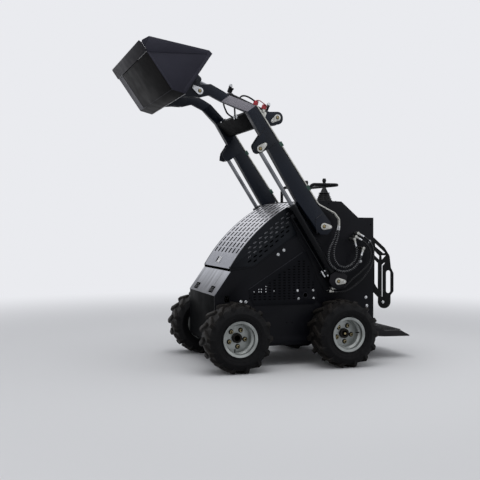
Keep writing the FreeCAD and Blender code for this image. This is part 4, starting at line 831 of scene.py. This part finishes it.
latchPlace = planted(spot(-26, -15, 722), (-0.544, 0, 0.839), (0.839, 0, 0.544))
# Painted reflection: the chrome latch plate is painted near white for the sky it mirrors
settle(moved(block((-24, -36, -1), (24, 30, 4), 2.0, 6, -1.0), latchPlace), latchSkyReflection, "hood",
       "latchPlate")
settle(moved(block((-20, 31, 0), (24, 44, 8), 2.5, 2, 1.0), latchPlace), finishes["lever_rubber"], "hood",
       "latchThumb")
cornerBolt = [facing(spot(-4, side * 300, 684), (0.822, 0, 0.569)) for side in (1, -1)]
settle(copies(domeBolt(6, 4), cornerBolt, "hoodCornerBolts"), slotShade, "hood")
print("nose done")

# Rear: grip mat on the step, service panel, boots, panel screws
fromAxle = Matrix.Translation((axleX, 0, 0))
grip = {"half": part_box("platform")[1][1] * 1000 - 34, "first": -1352, "pitch": 22, "wide": 10, "low": 198, "top": 204}
ribs = []
for i in range(7):
    ribX = grip["first"] + grip["pitch"] * i
    ribs.append(moved(block((ribX, -grip["half"], grip["low"]), (ribX + grip["wide"], grip["half"], grip["top"]),
                            1.6, 3, 0.8), fromAxle))
settle(joinPieces(ribs, "stepGrips"), finishes["lever_rubber"], "platform")
panel = block((rearX - 2.4, -225, 330), (rearX + 0.5, 225, 960), 1.0, 26, 0.9, (-1, 0, 0))
settle(moved(panel, fromAxle), tones["towerPaint"], "chassis", "rearPanel")
panelBolts = [(rearX - 2.4, y, z) for y in (-212, 0, 212) for z in (344, 645, 946)]
settle(copies(domeBolt(8, 5), [facing(spot(*p), (-1, 0, 0)) for p in panelBolts], "rearPanelBolts"), brightZinc,
       "chassis")
louvres = [moved(block((rearX - 7, -150, z), (rearX - 1.8, 150, z + 12), 2.4, 2, 0.5, (-1, 0, 0)), fromAxle)
           for z in range(420, 624, 34)]
settle(joinPieces(louvres, "rearLouvres"), tones["towerPaint"], "chassis")
boot = {"x": -766, "y": 165, "rings": ((1150, 55.4), (1164, 49.8), (1178, 44.2), (1192, 38.6), (1205, 37.0))}
folds = []
for side in (1, -1):
    for z, radius in boot["rings"]:
        folds.append(moved(ringBead(radius, 4.2, 0.8, 40), Matrix.Translation(spot(boot["x"], side * boot["y"], z))))
settle(joinPieces(folds, "leverBootFolds"), finishes["lever_rubber"], "chassis")
consoleScrews = [(-560, y, 1146) for y in (-292, 292)] + [(-800, y, 1144) for y in (-292, -100, 100, 292)]
settle(copies(domeBolt(6, 3.5), [facing(spot(*p), (0, 0, 1)) for p in consoleScrews], "consoleScrews"), brightZinc,
       "chassis")
settle(moved(turned([(16, -4), (16, 6), (13, 8), (13, 20), (9, 24), (4, 25)], 20), facing(spot(-905, 240, 1076),
             (-0.65, 0, 0.76))), finishes["lever_rubber"], "chassis", "consoleKnob")
print("rear done")

# Hoses: the same route points as the frame's tubes, millimetres
hose = {"radius": 6.0, "sleeve": [(6.4, -3), (7.4, -2), (7.4, 17), (6.6, 18), (6.6, 20), (7.5, 20.5), (7.5, 27),
                                  (6.3, 28)], "pitch": 14.0, "wire": 0.95}
armOut = 391.0
armMid = 366.0
hoseRoutes = {
    "hose_loop_inner": [(-782, armOut - 4, 965), (-775, armOut - 4, 890), (-735, armOut - 4, 800),
                        (-752, armOut - 4, 700), (-830, armOut - 4, 668), (-905, armOut - 4, 712),
                        (-925, armOut - 4, 790), (-905, armOut - 4, 850)],
    "hose_loop_outer": [(-782, armOut - 20, 965), (-764, armOut - 20, 893), (-690, armOut + 17, 800),
                        (-690, armOut + 17, 708), (-768, armOut + 17, 645), (-865, armOut + 17, 652),
                        (-935, armOut + 10, 715), (-955, armOut + 10, 785)],
    "hose_base_inner": [(-765, armMid, 528), (-820, armMid, 524), (-885, armMid, 585), (-960, armMid + 3, 640),
                        (-1040, armMid + 6, 715), (-1030, armMid + 6, 835), (-940, armMid + 6, 880)],
    "hose_base_outer": [(-746, armMid, 506), (-808, armMid, 497), (-885, armMid, 525), (-985, armMid + 3, 600),
                        (-1062, armMid + 6, 715), (-1050, armMid + 6, 860), (-956, armMid + 6, 905)],
}


def centreLine(points):
    # Points along the smooth route, read from a curve with no bevel
    line = routeCurve("routeLine", points, 0.0)
    bpy.context.view_layer.update()
    mesh = bpy.data.meshes.new_from_object(line.evaluated_get(bpy.context.evaluated_depsgraph_get()))
    path = [vertex.co.copy() for vertex in mesh.vertices]
    bpy.data.meshes.remove(mesh)
    bpy.data.objects.remove(line)
    return path


def spiralGuard(name, path):
    # Wire wound round the hose's own line, in a frame carried along it
    around = []
    normal = (path[1] - path[0]).orthogonal().normalized()
    travel = 0.0
    for here, ahead in zip(path, path[1:]):
        step, run = ahead - here, (ahead - here).length
        if run < 1e-6:
            continue
        along = step.normalized()
        normal = (normal - normal.dot(along) * along).normalized()
        side = along.cross(normal)
        parts = max(2, round(run / 0.0014))
        for i in range(parts):
            angle = 2 * math.pi * (travel + run * i / parts) / (hose["pitch"] / 1000)
            reach = (hose["radius"] + 0.5) / 1000
            around.append(here + step * i / parts + reach * (math.cos(angle) * normal + math.sin(angle) * side))
        travel += run
    curve = bpy.data.curves.new(name, "CURVE")
    curve.dimensions = "3D"
    curve.bevel_depth = hose["wire"] / 1000
    curve.bevel_resolution = 1
    spline = curve.splines.new("POLY")
    spline.points.add(len(around) - 1)
    for point, place in zip(spline.points, around):
        point.co = (place.x, place.y, place.z, 1)
    wire = bpy.data.objects.new(name, curve)
    bpy.context.scene.collection.objects.link(wire)
    return toMesh(wire)


def layHose(nodeName, points):
    path = centreLine(points)
    tube = toMesh(routeCurve(nodeName + "_tube", points, hose["radius"] / 1000))
    wire = spiralGuard(nodeName + "_guard", path)
    onLoop = "loop" in nodeName
    for piece, material in ((tube, finishes["hose_rubber"]), (wire, guardPlastic if onLoop else darkGuard)):
        paint(piece, material)
        if onLoop:
            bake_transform(piece)
        else:
            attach(piece, "chassis")
    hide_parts(nodeName)
    for tag, end, inward, body in (("_start", path[0], path[2] - path[0], "boom" if onLoop else "chassis"),
                                   ("_end", path[-1], path[-3] - path[-1], "chassis")):
        sleeve = moved(turned(hose["sleeve"], 20), facing(end, inward))
        dark = "base" in nodeName and tag == "_start"
        settle(sleeve, darkGuard if dark else brightZinc, body, nodeName + tag)


for name, route in hoseRoutes.items():
    for side, sign in (("left", 1), ("right", -1)):
        layHose(name + "_" + side, [spot(x, sign * y, z) for x, y, z in route])


def shortHose(name, route, body):
    # A short hose with no solid of its own, between two fittings
    points = [spot(*p) for p in route]
    path = centreLine(points)
    tube = toMesh(routeCurve(name, points, hose["radius"] / 1000))
    tube.name = name
    paint(tube, finishes["hose_rubber"])
    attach(tube, body)


shortHose("couplerHose", [(-72, 284, 1836), (-84, 280, 1858), (-120, 268, 1868), (-168, 252, 1856), (-205, 243, 1834)],
          "boom")
shortHose("tiltHoseFront", [(16, 209, 1828), (8, 186, 1810), (-20, 140, 1782), (-52, 90, 1757), (-98, 56, 1744)],
          "boom")
shortHose("tiltHoseRear", [(-46, 274, 1796), (-52, 250, 1780), (-70, 200, 1764), (-90, 140, 1758), (-100, 108, 1752)],
          "boom")
print("hoses done")

# Studio: pale floor that fades into the sky, soft light and the photograph's camera
studio = {"floor": "d6d7d9", "sky": "eaebef", "bounce": "5c5d5f", "skyStrength": 0.55, "fadeFrom": 2.2, "fadeTo": 6.0}


def skyGlow(tree, kind):
    return addNode(tree, kind, {}, {"Color": fromHex(studio["sky"]), "Strength": 1.0})


def seenRays(tree):
    # One where the camera, a mirror or a glass sees it, nought for plain light
    path = addNode(tree, "ShaderNodeLightPath", {}, {})
    both = addNode(tree, "ShaderNodeMath", {"operation": "MAXIMUM"},
                   {0: path.outputs["Is Camera Ray"], 1: path.outputs["Is Glossy Ray"]})
    return addNode(tree, "ShaderNodeMath", {"operation": "MAXIMUM"},
                   {0: both.outputs["Value"], 1: path.outputs["Is Transmission Ray"]}).outputs["Value"]


def makeStudio():
    world = bpy.data.worlds.new("softSky")
    bpy.context.scene.world = world
    world.use_nodes = True
    tree = world.node_tree
    light = tree.nodes["Background"]
    light.inputs["Color"].default_value = fromHex(studio["sky"])
    light.inputs["Strength"].default_value = studio["skyStrength"]
    seen = skyGlow(tree, "ShaderNodeBackground")
    mix = addNode(tree, "ShaderNodeMixShader", {}, {0: seenRays(tree), 1: light.outputs["Background"],
                                                    2: seen.outputs["Background"]})
    tree.links.new(mix.outputs["Shader"], tree.nodes["World Output"].inputs["Surface"])
    clearPick()
    bpy.ops.mesh.primitive_plane_add(size=60, location=(0, 0, 0))
    floor = bpy.context.active_object
    floor.name = "studioFloor"
    material, tree, shader, place = startMaterial("paleFloor", 0.0, 0.9)
    seen = seenRays(tree)
    tone = addNode(tree, "ShaderNodeMix", {"data_type": "RGBA"}, {0: seen, 6: fromHex(studio["bounce"]),
                                                                  7: fromHex(studio["floor"])})
    tree.links.new(tone.outputs[2], shader.inputs["Base Color"])
    glow = skyGlow(tree, "ShaderNodeEmission")
    reach = addNode(tree, "ShaderNodeVectorMath", {"operation": "LENGTH"}, {0: place})
    fade = addNode(tree, "ShaderNodeMapRange", {"interpolation_type": "SMOOTHSTEP"},
                   {"Value": reach.outputs["Value"], "From Min": studio["fadeFrom"], "From Max": studio["fadeTo"]})
    share = addNode(tree, "ShaderNodeMath", {"operation": "MULTIPLY"}, {0: fade.outputs["Result"], 1: seen})
    mix = addNode(tree, "ShaderNodeMixShader", {}, {0: share.outputs["Value"], 1: shader.outputs["BSDF"],
                                                    2: glow.outputs["Emission"]})
    tree.links.new(mix.outputs["Shader"], tree.nodes["Material Output"].inputs["Surface"])
    paint(floor, material)


makeStudio()

lamps = [
    # name, place, aimed at, size, watts
    ("topSoft", (0.4, 0.3, 4.6), (0, 0, 1.0), 4.0, 120),
    ("frontSoft", (4.5, 3.5, 3.0), (0.4, 0, 1.2), 2.6, 18),
    ("rearSoft", (-3.5, 3.0, 3.2), (-0.3, 0, 1.0), 2.4, 18),
]
for name, place, target, size, watts in lamps:
    clearPick()
    bpy.ops.object.light_add(type="AREA", location=place)
    lamp = bpy.context.active_object
    lamp.name = name
    lamp.data.size = size
    lamp.data.energy = watts
    lamp.rotation_euler = (Vector(target) - Vector(place)).to_track_quat("-Z", "Y").to_euler()

view = {"place": (2.0041, 5.5001, 0.9892), "yaw": 0.3182, "pitch": 0.0108, "roll": 0.0021,
        "focalPixels": 800.0, "centreY": 214.0, "frame": 480.0}


def makeCamera():
    yaw, pitch, roll = view["yaw"], view["pitch"], view["roll"]
    forward = Vector((-math.sin(yaw) * math.cos(pitch), -math.cos(yaw) * math.cos(pitch), math.sin(pitch)))
    right = forward.cross(Vector((0, 0, 1))).normalized()
    up = right.cross(forward)
    turnedRight = math.cos(roll) * right + math.sin(roll) * up
    turnedUp = -math.sin(roll) * right + math.cos(roll) * up
    data = bpy.data.cameras.new("viewCamera")
    data.sensor_width = 36
    data.lens = view["focalPixels"] / view["frame"] * 36
    data.shift_y = (view["centreY"] - view["frame"] / 2) / view["frame"]
    camera = bpy.data.objects.new("viewCamera", data)
    bpy.context.scene.collection.objects.link(camera)
    turn = Matrix((turnedRight, turnedUp, -forward)).transposed().to_4x4()
    camera.matrix_world = Matrix.Translation(Vector(view["place"])) @ turn
    bpy.context.scene.camera = camera


makeCamera()
bpy.context.scene.view_settings.view_transform = "Standard"
print("scene ready")
